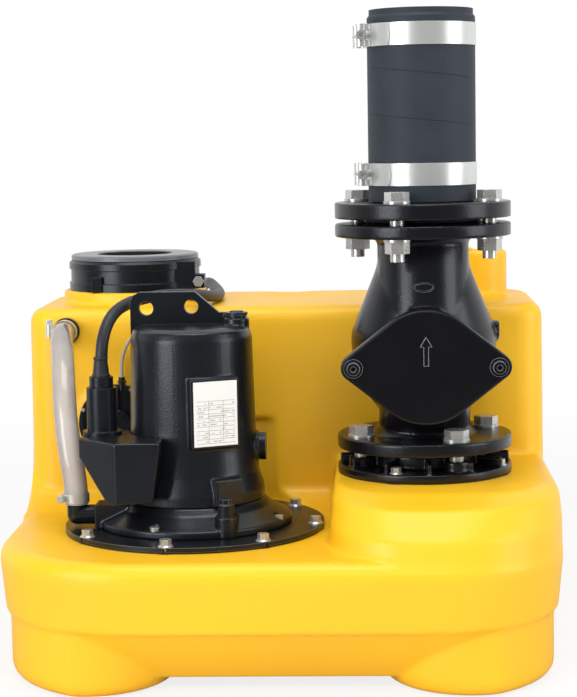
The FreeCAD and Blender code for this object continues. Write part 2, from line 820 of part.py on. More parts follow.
def arc_from(start, corner, end):
    """Arc that leaves its start towards a corner and arrives from it."""
    incoming = (corner - start).normalize()
    outgoing = (end - corner).normalize()
    turn = incoming.getAngle(outgoing)
    if turn < 1e-6:
        return Part.LineSegment(start, end).toShape()
    reach = (corner - start).Length
    radius = reach / math.tan(turn / 2)
    inward = (outgoing - incoming).normalize()
    centre = corner + inward * (radius / math.cos(turn / 2))
    return Part.Arc(start, centre - inward * radius, end).toShape()


def swept(path, radius):
    """Solid of a round section along a path."""
    start = path.Edges[0].valueAt(path.Edges[0].FirstParameter)
    way = path.Edges[0].tangentAt(path.Edges[0].FirstParameter)
    section = Part.Wire([Part.Circle(start, way, radius).toShape()])
    return path.makePipeShell([section], True, False)


def report_tube(name, solid, path, section, radii):
    """Print a tube's length, tightest bend and how near its volume is to section times length."""
    print(name, "length", round(path.Length, 1), "least radius", round(min(radii), 1),
          "volume share", round(solid.Volume / (section * path.Length), 4))


# Clear vent hose from the pump to the tank

HOSE_FOOT = (-230.8, -116.0, 173.0)
HOSE_ROUTE = [
    (-230.8, -116.0, 185.3), (-230.8, -116.0, 207.0), (-236.5, -114.0, 240.0), (-243.0, -103.0, 282.0),
    (-247.0, -82.0, 318.0), (-252.5, -50.0, 345.0), (-258.5, -18.0, 361.0), (-262.0, 10.0, 366.0),
    (-262.0, 35.8, 366.0),
]


def vent_hose():
    """Clear hose with its bore."""
    path, radii = rounded_path(HOSE_ROUTE)
    outer = swept(path, S.hose_radius.value)
    inner = swept(path, S.hose_bore.value)
    hose = outer.cut(inner)
    section = math.pi * (S.hose_radius.value ** 2 - S.hose_bore.value ** 2)
    report_tube("vent hose", hose, path, section, radii)
    return hose


piece("vent_hose", solid_feature(vent_hose()))
hose_wall = S.block_front
NIPPLE_FLANGE = 7.6
piece("hose_nipple", fuse(
    cylinder(6.0, 30.0, (HOSE_END[0], hose_wall - 6.0, HOSE_END[2]), "Y"),
    cylinder(S.hose_bore - 0.1, 16.0, (HOSE_END[0], hose_wall - 5.0, HOSE_END[2]), "-Y"),
    cylinder(S.hose_radius + 2.5, NIPPLE_FLANGE, (HOSE_END[0], hose_wall - 6.0, HOSE_END[2]), "Y"),
))


def worm_clamp(centre, axis, screw_at, screw_axis, screw_length):
    """Worm drive clamp: a band, its housing and the screw."""
    x, y, z = centre
    width = 10.0
    band_outer = S.hose_radius + 1.2
    if axis == "Z":
        start = (x, y, z - width / 2)
    else:
        start = (x, y - width / 2, z)
    band = cut(cylinder(band_outer, width, start, axis), cylinder(S.hose_radius + 0.1, width, start, axis))
    screw_x, screw_y, screw_z = screw_at
    if screw_axis == "Z":
        head = hexagon(7.0, 5.0, (screw_x, screw_y, screw_z + screw_length / 2), "Z")
        barrel = cylinder(4.6, screw_length, (screw_x, screw_y, screw_z - screw_length / 2), "Z")
    else:
        head = hexagon(7.0, 5.0, (screw_x, screw_y - screw_length / 2, screw_z), "-Y")
        barrel = cylinder(4.6, screw_length, (screw_x, screw_y + screw_length / 2, screw_z), "-Y")
    return fuse(band, cut(fuse(barrel, head), cylinder(S.hose_radius + 0.6, width * 3,
                (start[0], start[1] - (0.0 if axis == "Z" else width), start[2] - (width if axis == "Z" else 0.0)),
                axis)))


lower_clamp_z = 192.5
upper_clamp_y = 26.0
piece("hose_clamps", group([
    worm_clamp((HOSE_FOOT[0], HOSE_FOOT[1], lower_clamp_z), "Z",
               (HOSE_FOOT[0] - 16.0, HOSE_FOOT[1] - 5.0, lower_clamp_z), "Y", 16.0),
    worm_clamp((HOSE_END[0], upper_clamp_y, HOSE_END[2]), "Y",
               (HOSE_END[0] - 18.0, upper_clamp_y, HOSE_END[2] + 2.0), "Z", 16.0)]))

# Pump plate and its fixings

plate_parts = [cylinder(S.plate_radius, S.plate_thickness, (*PUMP, deck_seat))]
plate_cuts = [cylinder(S.plate_hole_radius, S.plate_thickness, (*PUMP, deck_seat))]
notch = S.bolt_radius + S.bolt_clearance
for number, (x, y) in enumerate(PLATE_BOLTS):
    plate_cuts.append(cylinder(notch, S.plate_thickness, (x, y, deck_seat)))
    slot = doc.addObject("Part::Box", "Slot")
    bind(slot, "Length", S.bolt_radius)
    bind(slot, "Width", 24.0)
    bind(slot, "Height", S.plate_thickness)
    turn = math.radians(-8.0 + 45.0 * number)
    side = S.bolt_radius / 2
    place(slot, (x - side * math.cos(turn), y - side * math.sin(turn), deck_seat),
          Rotation(Vector(0, 0, 1), math.degrees(turn) + 180.0))
    slot.Placement = Placement(slot.Placement.Base, Rotation(Vector(0, 0, 1), math.degrees(turn)))
    place(slot, (x + 24.0 * math.sin(turn) - side * math.cos(turn),
                 y - 24.0 * math.cos(turn) - side * math.sin(turn), deck_seat),
          Rotation(Vector(0, 0, 1), math.degrees(turn)))
    plate_cuts.append(slot)
piece("pump_plate", cut(plate_parts[0], *plate_cuts))
piece("plate_gasket", cut(
    cylinder(S.plate_radius - 1.0, S.gasket_thickness, (*PUMP, S.deck_height)),
    cylinder(S.deck_hole_radius, S.gasket_thickness, (*PUMP, S.deck_height)),
    *[cylinder(notch, S.gasket_thickness, (x, y, S.deck_height)) for x, y in PLATE_BOLTS]))
plate_grip = S.plate_thickness + S.gasket_thickness + S.insert_length - 2.0
piece("plate_bolts", group([
    flanged_bolt(S.bolt_radius, plate_grip, 11.0, 8.0, 8.6, point, plate_top) for point in PLATE_BOLTS]))

# Oil chamber casting under the motor

CASTING_LEFT = (-208.0, -116.0)


def oil_chamber():
    """Flared base casting with a lug for the vent elbow and a boss for the front plug."""
    rim = 8.0
    radius = S.casting_radius
    foot = S.housing_foot_radius
    height = S.casting_height
    outer = spun([
        (0.0, 0.0), (radius, 0.0), (radius, rim), (radius - 8.0, rim + 4.0), (foot + 6.0, height - 8.0),
        (foot, height), (0.0, height),
    ], (*PUMP, plate_top))
    lug = block((CASTING_LEFT[0], CASTING_LEFT[1] - 18.0, plate_top),
                (S.pump_x - 60.0, CASTING_LEFT[1] + 18.0, plate_top + 27.0))
    boss_x, boss_y = FRONT_PLUG
    boss = fuse(cylinder(11.5, height - 6.0, (boss_x, boss_y, plate_top)),
                block((boss_x - 11.5, boss_y, plate_top), (boss_x + 11.5, boss_y + 40.0, plate_top + 22.0)))
    cavity = spun([
        (0.0, 7.0), (radius - 20.0, 7.0), (foot - 12.0, height - 9.0), (foot - 12.0, height), (0.0, height),
    ], (*PUMP, plate_top))
    bore = cylinder(S.seal_bore, 8.0, (*PUMP, plate_top - 0.5))
    pass_hole = cylinder(7.0, 50.0, (CASTING_LEFT[0], CASTING_LEFT[1], plate_top + 14.0), "X")
    plug_hole = cylinder(4.5, 30.0, (boss_x, boss_y, plate_top + 12.0))
    screw_holes = [cylinder(2.6, rim + 30.0, (x, y, plate_top - 1.0)) for x, y in BASE_SCREWS]
    seats = [cylinder(6.0, 30.0, (x, y, plate_top + rim)) for x, y in BASE_SCREWS]
    return cut(fuse(outer, lug, boss), cavity, bore, pass_hole, plug_hole, *screw_holes, *seats)


BASE_SCREWS = ring_points(4, S.casting_radius - 7.0, -20.0, PUMP)
FRONT_PLUG = (S.pump_x + 43.0, S.pump_y - 95.0)
piece("oil_chamber", oil_chamber())
piece("base_screws", group([
    fuse(cylinder(2.5, 10.0, (x, y, plate_top + 0.2)), cylinder(5.0, 4.5, (x, y, plate_top + 8.0)))
    for x, y in BASE_SCREWS]))
front_plug = fuse(
    cylinder(4.4, 12.0, (*FRONT_PLUG, plate_top + 13.0)),
    cylinder(9.0, 14.0, (*FRONT_PLUG, plate_top + S.casting_height - 6.0)),
    hexagon(11.0, 6.0, (*FRONT_PLUG, plate_top + S.casting_height + 8.0)))


def elbow_fitting():
    """Moulded elbow with a hose tail up and a spigot into the casting's lug."""
    x, y, level = HOSE_FOOT
    corner = doc.addObject("Part::Sphere", "Corner")
    corner.Radius = 11.0
    place(corner, (x, y, level))
    return fuse(
        corner,
        cylinder(11.0, 12.0, (x, y, level)),
        cylinder(S.hose_bore - 0.1, 24.0, (x, y, level)),
        cylinder(11.0, CASTING_LEFT[0] - x, (x, y, level), "X"),
        cylinder(6.9, 40.0, (x, y, level), "X"),
    )


piece("elbow_fitting", elbow_fitting())

# Motor

def motor_outline(grow):
    """Outer profile of the motor housing, from its foot up."""
    top = S.housing_height
    foot = S.housing_foot_radius + grow
    bend = S.housing_rounding
    upper = S.housing_top_radius + grow
    return [
        (0.0, 0.0), (foot, 0.0), (foot - 0.5, top * 0.06), (S.housing_radius + 2.5 + grow, top * 0.16),
        (S.housing_radius + grow, top * 0.3), (upper, top - bend), (upper - bend * 0.29, top - bend * 0.29 + grow),
        (upper - bend, top + grow), (0.0, top + grow),
    ]


NAMEPLATE_TURN = 25.0
plate_low = housing_base + S.nameplate_height_above_foot


def turned_block(width, depth, height, distance, sideways, low, angle):
    """Upright box that faces outwards at an angle from the front of the pump."""
    item = doc.addObject("Part::Box", "Facing")
    bind(item, "Length", width)
    bind(item, "Width", depth)
    bind(item, "Height", height)
    way = math.radians(angle)
    across = sideways - as_size(width) / 2
    x = S.pump_x + distance * math.sin(way) + across * math.cos(way)
    y = S.pump_y - distance * math.cos(way) + across * math.sin(way)
    return place(item, (x, y, low), Rotation(Vector(0, 0, 1), angle))


def motor_housing():
    """Cast shell, open at the bottom, with a bearing hub under its crown."""
    top = S.housing_height
    bore = S.housing_bore
    shell = spun(motor_outline(0.0), (*PUMP, housing_base))
    hollow = spun([
        (0.0, 0.0), (S.housing_foot_radius - 8.0, 0.0), (bore + 2.0, top * 0.2), (bore, top * 0.24),
        (bore, top - 18.0), (S.bearing_radius + 7.0, top - 10.0), (S.bearing_radius + 7.0, top - 30.0),
        (S.bearing_radius + S.fit_gap, top - 30.0), (S.bearing_radius + S.fit_gap, top - 16.0), (0.0, top - 16.0),
    ], (*PUMP, housing_base))
    pad = turned_block(S.nameplate_width + 6.0, 20.0, S.nameplate_height + 6.0, S.housing_radius + 2.0, 0.0,
                       plate_low - 3.0, NAMEPLATE_TURN)
    plug_seat = cylinder(S.side_plug_radius + 2.0, 11.0, (S.pump_x + 64.0, S.pump_y, housing_base + 57.0), "X")
    lift_boss = cylinder(14.5, 12.0, (S.pump_x + 52.0, S.pump_y, housing_top - 4.0))
    nose = turned_block(34.0, 30.0, 30.0, 84.0, 0.0, housing_base + 1.0, 33.0)
    plug_bore = cylinder(S.side_plug_radius - 6.0, 30.0, (S.pump_x + 56.0, S.pump_y, housing_base + 57.0), "X")
    wire_hole = cylinder(9.0, 40.0, (S.pump_x - 50.0, S.pump_y - 46.0, housing_base + 44.0), "-X")
    lift_hole = cylinder(4.2, 20.0, (S.pump_x + 52.0, S.pump_y, housing_top - 6.0))
    solid = cut(fuse(shell, pad, plug_seat, lift_boss, nose), hollow, plug_bore, wire_hole, lift_hole)
    return solid


piece("motor_housing", motor_housing())
piece("nameplate", turned_block(S.nameplate_width, 0.8, S.nameplate_height, S.housing_radius + 2.8, 0.0, plate_low,
                                NAMEPLATE_TURN))
side_plug = fuse(
    cylinder(S.side_plug_radius - 6.1, 12.0, (S.pump_x + 64.0, S.pump_y, housing_base + 57.0), "X"),
    cylinder(S.side_plug_radius, 8.0, (S.pump_x + 75.0, S.pump_y, housing_base + 57.0), "X"))
piece("oil_plugs", group([front_plug, side_plug]))
piece("lifting_screw", fuse(
    cylinder(4.0, 18.0, (S.pump_x + 52.0, S.pump_y, housing_top - 5.0)),
    cylinder(12.5, 3.0, (S.pump_x + 52.0, S.pump_y, housing_top + 11.4)),
    hexagon(13.0, 3.0, (S.pump_x + 52.0, S.pump_y, housing_top + 13.0))))


def lifting_bracket():
    """Flat lifting plate with two holes and a foot under the lifting screw."""
    base = housing_top + 0.2
    plate = prism([
        (-70.5, -20.0), (-60.0, -20.0), (-48.0, -6.0), (42.0, -3.0), (42.0, 13.0), (31.0, 13.0), (4.0, 37.0),
        (-60.0, 37.0), (-67.0, 33.0), (-70.5, 26.0),
    ], S.bracket_thickness, (S.pump_x, S.pump_y + 20.0, base), Rotation(Vector(1, 0, 0), 90))
    hang = fuse(plate, block((S.pump_x + 36.0, S.pump_y + 11.0, housing_top + 8.0),
                             (S.pump_x + 58.0, S.pump_y + 20.0, housing_top + 11.2)),
                cylinder(11.0, 3.2, (S.pump_x + 52.0, S.pump_y, housing_top + 8.0)),
                block((S.pump_x + 41.0, S.pump_y, housing_top + 8.0),
                      (S.pump_x + 63.0, S.pump_y + 15.0, housing_top + 11.2)))
    holes = [cylinder(S.bracket_hole_radius, 30.0, (S.pump_x + x, S.pump_y + 30.0, housing_top + z), "-Y")
             for x, z in ((-52.0, 18.5), (-0.5, 20.0))]
    body = spun(motor_outline(0.15), (*PUMP, housing_base))
    return cut(hang, body, cylinder(4.3, 20.0, (S.pump_x + 52.0, S.pump_y, housing_top)), *holes)


piece("lifting_bracket", lifting_bracket())

motor_floor = housing_base
piece("bearing_bracket", spun([
    (S.bearing_radius + 5.0 + S.fit_gap, 0.0), (S.housing_foot_radius - 12.5, 0.0),
    (S.housing_foot_radius - 12.5, 6.0), (S.bearing_radius + 12.0, 12.0), (S.bearing_radius + 12.0, 26.0),
    (S.bearing_radius + 5.0 + S.fit_gap, 26.0), (S.bearing_radius + 5.0 + S.fit_gap, 10.0),
    (S.shaft_radius + 3.0, 10.0), (S.shaft_radius + 3.0, 6.0), (S.bearing_radius + 5.0 + S.fit_gap, 6.0),
], (*PUMP, motor_floor)))
piece("shaft_bearings", group([
    tube(S.bearing_radius + 5.0, S.shaft_radius + S.running_clearance, 14.0, (*PUMP, motor_floor + 10.2)),
    tube(S.bearing_radius, S.shaft_radius - 2.0 + S.running_clearance, 12.0, (*PUMP, housing_top - 29.0))]))
core_base = housing_base + 50.0
piece("stator", tube(S.housing_bore - S.fit_gap, S.stator_bore, S.core_length, (*PUMP, core_base)))
piece("stator_windings", group([
    tube(S.housing_bore - 6.0, S.stator_bore + 3.0, 17.0, (*PUMP, core_base - 17.0)),
    tube(S.housing_bore - 6.0, S.stator_bore + 3.0, 17.0, (*PUMP, core_base + S.core_length))]))
piece("rotor_core", tube(S.rotor_radius, S.shaft_radius, S.core_length, (*PUMP, core_base)))

impeller_base = S.outlet_height - S.impeller_vane_height / 2
impeller_top = impeller_base + S.impeller_vane_height + S.impeller_disc
hub_top = impeller_top + 8.0
shaft_low = impeller_base + 2.0
piece("rotor_shaft", spun([
    (0.0, 0.0), (S.shaft_end_radius, 0.0), (S.shaft_end_radius, hub_top - shaft_low),
    (S.shaft_radius, hub_top - shaft_low), (S.shaft_radius, housing_top - 31.0 - shaft_low),
    (S.shaft_radius - 2.0, housing_top - 31.0 - shaft_low), (S.shaft_radius - 2.0, housing_top - 17.0 - shaft_low),
    (0.0, housing_top - 17.0 - shaft_low),
], (*PUMP, shaft_low)))


def impeller():
    """Open impeller with six vanes under its disc."""
    disc = spun([
        (S.shaft_end_radius, 0.0), (S.shaft_radius + 6.0, 0.0), (S.shaft_radius + 6.0, S.impeller_vane_height),
        (S.impeller_radius, S.impeller_vane_height), (S.impeller_radius, S.impeller_vane_height + S.impeller_disc),
        (S.shaft_radius + 8.0, S.impeller_vane_height + S.impeller_disc), (S.shaft_radius + 3.0, hub_top - impeller_base),
        (S.shaft_end_radius, hub_top - impeller_base),
    ], (*PUMP, impeller_base))
    vanes = []
    for number in range(6):
        vane = doc.addObject("Part::Box", "Vane")
        bind(vane, "Length", S.impeller_radius - S.shaft_radius - 6.0)
        bind(vane, "Width", 4.0)
        bind(vane, "Height", S.impeller_vane_height + 1.0)
        angle = math.radians(60.0 * number)
        start = S.shaft_radius + 3.0
        place(vane, (S.pump_x + start * math.cos(angle), S.pump_y + start * math.sin(angle), impeller_base),
              Rotation(Vector(0, 0, 1), 60.0 * number + 14.0))
        vanes.append(vane)
    return fuse(disc, *vanes)


piece("impeller", impeller())
piece("impeller_screw", fuse(
    cylinder(S.shaft_end_radius + 4.0, 3.0, (*PUMP, impeller_base - 3.0)),
    hexagon(13.0, 7.0, (*PUMP, impeller_base - 10.0)),
    cylinder(4.0, 4.0, (*PUMP, impeller_base - 3.0 + 1.0))))

# Volute and back plate inside the tank

volute_top = S.volute_bottom + S.volute_height


def volute():
    """Round pump casing with its suction eye below and its outlet to the right."""
    wall = S.volute_wall
    pot = cylinder(S.volute_radius, S.volute_height, (*PUMP, S.volute_bottom))
    rim = cylinder(S.volute_flange, 8.0, (*PUMP, volute_top - 8.0))
    spout = cylinder(S.outlet_radius, outlet_reach, (S.pump_x, S.valve_y, S.outlet_height), "X")
    room = cylinder(S.volute_radius - wall, S.volute_height, (*PUMP, S.volute_bottom + wall))
    eye = cylinder(S.eye_radius, wall * 2, (*PUMP, S.volute_bottom - wall * 0.5))
    passage = cylinder(S.outlet_bore, outlet_reach, (S.pump_x, S.valve_y, S.outlet_height), "X")
    holes = [cylinder(3.2, 20.0, (x, y, volute_top - 14.0)) for x, y in VOLUTE_SCREWS]
    body = fuse(pot, rim, spout)
    body.Refine = False
    casing = cut(body, room, eye, passage, *holes)
    casing.Refine = False
    casing.Tool.Refine = False
    return casing


VOLUTE_SCREWS = ring_points(6, S.volute_flange - 6.0, 10.0, PUMP)
outlet_reach = S.volute_radius + 32.0
piece("volute", volute())
piece("back_plate", cut(
    spun([
        (S.seal_bore, 0.0), (S.volute_flange, 0.0), (S.volute_flange, S.back_plate_thickness),
        (S.plate_hole_radius - 0.5, S.back_plate_thickness), (S.plate_hole_radius - 0.5, plate_top - volute_top),
        (S.plate_hole_radius - 9.0, plate_top - volute_top), (S.plate_hole_radius - 9.0, S.back_plate_thickness + 1.0),
        (S.seal_bore, S.back_plate_thickness + 1.0),
    ], (*PUMP, volute_top)),
    *[cylinder(3.2, 20.0, (x, y, volute_top - 1.0)) for x, y in VOLUTE_SCREWS]))
piece("volute_screws", group([
    fuse(cylinder(3.0, 18.0, (x, y, volute_top - 10.0)), hexagon(10.0, 5.0, (x, y, volute_top + S.back_plate_thickness)))
    for x, y in VOLUTE_SCREWS]))
piece("mechanical_seal", spun([
    (S.shaft_radius + S.running_clearance, 0.0), (S.seal_bore - S.fit_gap, 0.0),
    (S.seal_bore - S.fit_gap, plate_top + 7.0 - volute_top), (S.shaft_radius + S.running_clearance,
                                                               plate_top + 7.0 - volute_top),
], (*PUMP, volute_top)))

# Discharge pipe inside the tank

ELBOW_RADIUS = 62.0


def discharge_pipe():
    """Pipe that slides over the volute's spout, turns up and ends in the tank flange."""
    inner = S.outlet_radius.value + S.fit_gap.value
    outer = inner + 5.0
    start = S.pump_x.value + outlet_reach.value - 16.0
    turn_x = S.valve_x.value - ELBOW_RADIUS
    level = S.outlet_height.value
    y = S.valve_y.value
    top = tower_seat.value - 24.0
    middle = math.sqrt(0.5)
    path = Part.Wire([
        Part.LineSegment(Vector(start, y, level), Vector(turn_x, y, level)).toShape(),
        Part.Arc(Vector(turn_x, y, level),
                 Vector(turn_x + ELBOW_RADIUS * middle, y, level + ELBOW_RADIUS * (1 - middle)),
                 Vector(S.valve_x.value, y, level + ELBOW_RADIUS)).toShape(),
        Part.LineSegment(Vector(S.valve_x.value, y, level + ELBOW_RADIUS), Vector(S.valve_x.value, y, top)).toShape(),
    ])
    return swept(path, outer).cut(swept(path, inner))


piece("discharge_pipe", solid_feature(discharge_pipe()))

# Tank flange under the valve

def tank_flange():
    """Ribbed ring with a hub for the valve and a neck down into the tower."""
    ring = S.tank_flange_ring
    height = S.tank_flange_height
    pipe = S.outlet_radius + S.fit_gap + 5.0
    base = spun([
        (S.outlet_bore, -36.0), (S.outlet_radius, -36.0), (S.outlet_radius, -24.0), (pipe, -24.0), (pipe, 0.0),
        (S.flange_radius, 0.0), (S.flange_radius, ring - 1.0),
        (S.flange_radius - 2.0, ring), (S.raised_face_radius, ring), (S.raised_face_radius, height),
        (S.valve_bore, height), (S.outlet_bore, 0.0),
    ], (*VALVE, tower_seat))
    bosses = [cylinder(14.0, height - 3.0, (x, y, tower_seat)) for x, y in LOWER_BOLTS]
    ribs = []
    for number in range(12):
        angle = 1.5 + 30.0 * number
        rib = doc.addObject("Part::Box", "Rib")
        bind(rib, "Length", 4.0)
        bind(rib, "Width", S.flange_radius - S.raised_face_radius - 2.0)
        bind(rib, "Height", height - 6.0)
        way = math.radians(angle)
        reach = S.flange_radius - 3.0
        place(rib, (S.valve_x + reach * math.sin(way) - 2.0 * math.cos(way),
                    S.valve_y - reach * math.cos(way) - 2.0 * math.sin(way), tower_seat + 2.0),
              Rotation(Vector(0, 0, 1), angle))
        ribs.append(rib)
    threads = [cylinder(S.flange_bolt_radius + S.fit_gap, height, (x, y, tower_seat + 2.0)) for x, y in LOWER_BOLTS]
    seats = [cylinder(8.5, height, (x, y, tower_seat + ring)) for x, y in RING_SCREWS]
    holes = [cylinder(S.bolt_radius + 0.3, ring + 2.0, (x, y, tower_seat - 1.0)) for x, y in RING_SCREWS]
    return cut(fuse(base, *bosses, *ribs), *threads, *seats, *holes)


piece("tank_flange", tank_flange())
piece("tank_flange_gasket", cut(
    cylinder(S.flange_radius - 1.0, 1.5, (*VALVE, S.tower_height)),
    cylinder(S.outlet_radius + 8.0, 1.5, (*VALVE, S.tower_height)),
    *[cylinder(S.bolt_radius + 0.3, 1.5, (x, y, S.tower_height)) for x, y in RING_SCREWS]))
ring_grip = S.tank_flange_ring + 1.5 + S.insert_length - 2.0
piece("tank_flange_screws", group([
    flanged_bolt(S.bolt_radius, ring_grip, 10.0, 7.0, 7.6, point, tower_seat + S.tank_flange_ring)
    for point in RING_SCREWS]))
piece("flange_gaskets", group([
    tube(S.raised_face_radius, S.valve_bore, S.gasket_thickness, (*VALVE, low)) for low in (valve_seat, valve_top)]))

# Check valve

port_z = valve_base + S.port_height
hinge_z = valve_base + S.hinge_height
CREST_HEIGHT = 126.0
SWELL_START = 44.0
TAPER_END = 34.0
CREST_ROUNDING = 36.0
NECK_ROUNDING = 70.0


def bulged_form(neck, bulge, low, high):
    """Barrel that swells from its lower neck to the crest and tapers into its upper neck."""
    x, y = S.valve_x.value, S.valve_y.value
    crest = valve_base.value + CREST_HEIGHT
    start = valve_base.value + SWELL_START
    end = valve_top.value - TAPER_END
    spread = bulge - neck
    swell = (spread ** 2 + (crest - start) ** 2) / (2 * spread)
    middle = (crest + start) / 2
    waist = bulge - swell + math.sqrt(swell ** 2 - (crest - middle) ** 2)
    # Straight line that is tangent to the arcs at the crest and at the upper neck
    rounding = CREST_ROUNDING + NECK_ROUNDING
    across, up = rounding - spread, end - crest
    lean = math.asin(rounding / math.hypot(across, up)) - math.atan2(across, up)
    crest_arc = []
    neck_arc = []
    for turn in (0.0, lean / 2, lean):
        crest_arc.append(Vector(x + bulge - CREST_ROUNDING * (1 - math.cos(turn)), y,
                                crest + CREST_ROUNDING * math.sin(turn)))
        neck_arc.insert(0, Vector(x + neck + NECK_ROUNDING * (1 - math.cos(turn)), y,
                                  end - NECK_ROUNDING * math.sin(turn)))
    foot = [Vector(x, y, low), Vector(x + neck, y, low), Vector(x + neck, y, start)]
    head = [neck_arc[2], Vector(x + neck, y, high), Vector(x, y, high), foot[0]]
    edges = [Part.LineSegment(*pair).toShape() for pair in zip(foot, foot[1:])]
    edges.append(Part.Arc(foot[2], Vector(x + waist, y, middle), crest_arc[0]).toShape())
    edges.append(Part.Arc(*crest_arc).toShape())
    edges.append(Part.LineSegment(crest_arc[2], neck_arc[0]).toShape())
    edges.append(Part.Arc(*neck_arc).toShape())
    edges += [Part.LineSegment(*pair).toShape() for pair in zip(head, head[1:])]
    return Part.Face(Part.Wire(edges)).revolve(Vector(x, y, 0), Vector(0, 0, 1), 360)


def column_form(radius, grow):
    """Upright column in front of the barrel that leans back into the upper neck."""
    x, y, base = S.valve_x.value, S.valve_y.value, valve_base.value
    circles = []
    for height, forward in ((24.0 - grow, 4.0), (52.0, 24.0), (160.0, 24.0), (238.0 + grow, 0.0)):
        circles.append(Part.Wire([Part.Circle(Vector(x, y - forward, base + height), Vector(0, 0, 1), radius).toShape()]))
    return Part.makeLoft(circles, True, True)


def lens_face(big, small, offset, y, z):
    """Rounded diamond in an upright plane that faces the front."""
    x = S.valve_x.value
    lean = math.acos((big - small) / offset)
    edges = []
    corners = []
    for side in (1, -1):
        for up in (1, -1):
            way = Vector(side * math.cos(lean), 0, up * math.sin(lean))
            corners.append((Vector(x, y, z) + way * big, Vector(x + side * offset, y, z) + way * small))
    (top_right, right_top), (low_right, right_low), (top_left, left_top), (low_left, left_low) = corners
    edges.append(Part.Arc(top_left, Vector(x, y, z + big), top_right).toShape())
    edges.append(Part.LineSegment(top_right, right_top).toShape())
    edges.append(Part.Arc(right_top, Vector(x + offset + small, y, z), right_low).toShape())
    edges.append(Part.LineSegment(right_low, low_right).toShape())
    edges.append(Part.Arc(low_right, Vector(x, y, z - big), low_left).toShape())
    edges.append(Part.LineSegment(low_left, left_low).toShape())
    edges.append(Part.Arc(left_low, Vector(x - offset - small, y, z), left_top).toShape())
    edges.append(Part.LineSegment(left_top, top_left).toShape())
    return Part.Face(Part.Wire(edges))


def seat_slab():
    """Sloping wall inside the barrel that carries the seat."""
    slab = Part.makeBox(200.0, 300.0, 11.0, Vector(-100.0, -220.0, -11.0))
    slab.rotate(Vector(0, 0, 0), Vector(1, 0, 0), S.seat_tilt.value)
    slab.translate(Vector(S.valve_x.value, S.valve_y.value + S.hinge_back.value, hinge_z.value))
    return slab


def valve_body():
    """Cast body: two flanges, the barrel, the front port and the sloping seat."""
    x, y = S.valve_x.value, S.valve_y.value
    base, top = valve_base.value, valve_top.value
    neck = S.valve_neck_radius.value
    wall = S.valve_wall.value
    flange = S.flange_radius.value
    face = S.raised_face.value
    thick = S.flange_thickness.value
    form = bulged_form(neck, S.valve_bulge_radius.value, base + 1.0, top - 1.0)
    low_taper = Part.makeCone(neck + 9.0, neck, 12.0, Vector(x, y, base + face + thick))
    top_taper = Part.makeCone(neck, neck + 7.0, 9.0, Vector(x, y, top - face - thick - 9.0))
    port = port_z.value
    front = y - S.port_face.value
    boss = Part.makeCylinder(S.port_big_radius.value - 8.0, S.port_face.value - 12.0, Vector(x, y - 12.0, port),
                             Vector(0, -1, 0))
    lens = lens_face(S.port_big_radius.value, S.port_small_radius.value, S.port_screw_offset.value, front, port)
    parts = [
        upright(S.raised_face_radius.value, x, y, base, base + face + 1.0),
        upright(flange, x, y, base + face, base + face + thick),
        upright(flange, x, y, top - face - thick, top - face),
        upright(S.raised_face_radius.value, x, y, top - face - 1.0, top),
        low_taper, top_taper, column_form(neck + 1.0, 0.0), boss, lens.extrude(Vector(0, 13.0, 0)),
        Part.makeCylinder(11.0, 20.0, Vector(x + 66.0, y - 4.0, base + 134.0), Vector(1, 0, 0)),
    ]
    form = form.fuse(parts)
    chamber = bulged_form(neck - wall, S.valve_bulge_radius.value - wall, base + SWELL_START - 8.0, top - 30.0)
    chamber = chamber.fuse([column_form(neck - wall + 2.0, -10.0)]).cut(seat_slab())
    bore = S.valve_bore.value
    pin = S.flap_pin_radius.value + S.fit_gap.value
    hinge_y = y + S.hinge_back.value
    bolt = S.flange_hole_radius.value
    tools = [
        chamber,
        upright(bore, x, y, base - 1.0, base + 121.0),
        upright(bore, x, y, top - 60.0, top + 1.0),
        Part.makeCylinder(S.port_big_radius.value - 16.0, S.port_face.value, Vector(x, y - 30.0, port), Vector(0, -1, 0)),
        Part.makeCylinder(pin, 128.0, Vector(x - 64.0, hinge_y, hinge_z.value), Vector(1, 0, 0)),
        Part.makeCylinder(9.0 + 3.0, 40.0, Vector(x - 20.0, hinge_y, hinge_z.value), Vector(1, 0, 0)),
    ]
    tools += [upright(bolt, px.value, py.value, base - 1.0, base + 30.0) for px, py in LOWER_BOLTS]
    tools += [upright(bolt, px.value, py.value, top - 30.0, top + 1.0) for px, py in UPPER_BOLTS]
    for side in (-1, 1):
        tools.append(Part.makeCylinder(S.bolt_radius.value + S.fit_gap.value, 12.0,
                                       Vector(x + side * S.port_screw_offset.value, front - 0.5, port),
                                       Vector(0, 1, 0)))
    return form.cut(tools)


piece("valve_body", solid_feature(valve_body()))


def cover_holes(start, depth):
    """Two screw holes of the port's cover."""
    x, port = S.valve_x.value, port_z.value
    return [Part.makeCylinder(S.bolt_radius.value + 0.5, depth,
                              Vector(x + side * S.port_screw_offset.value, start, port), Vector(0, -1, 0))
            for side in (-1, 1)]


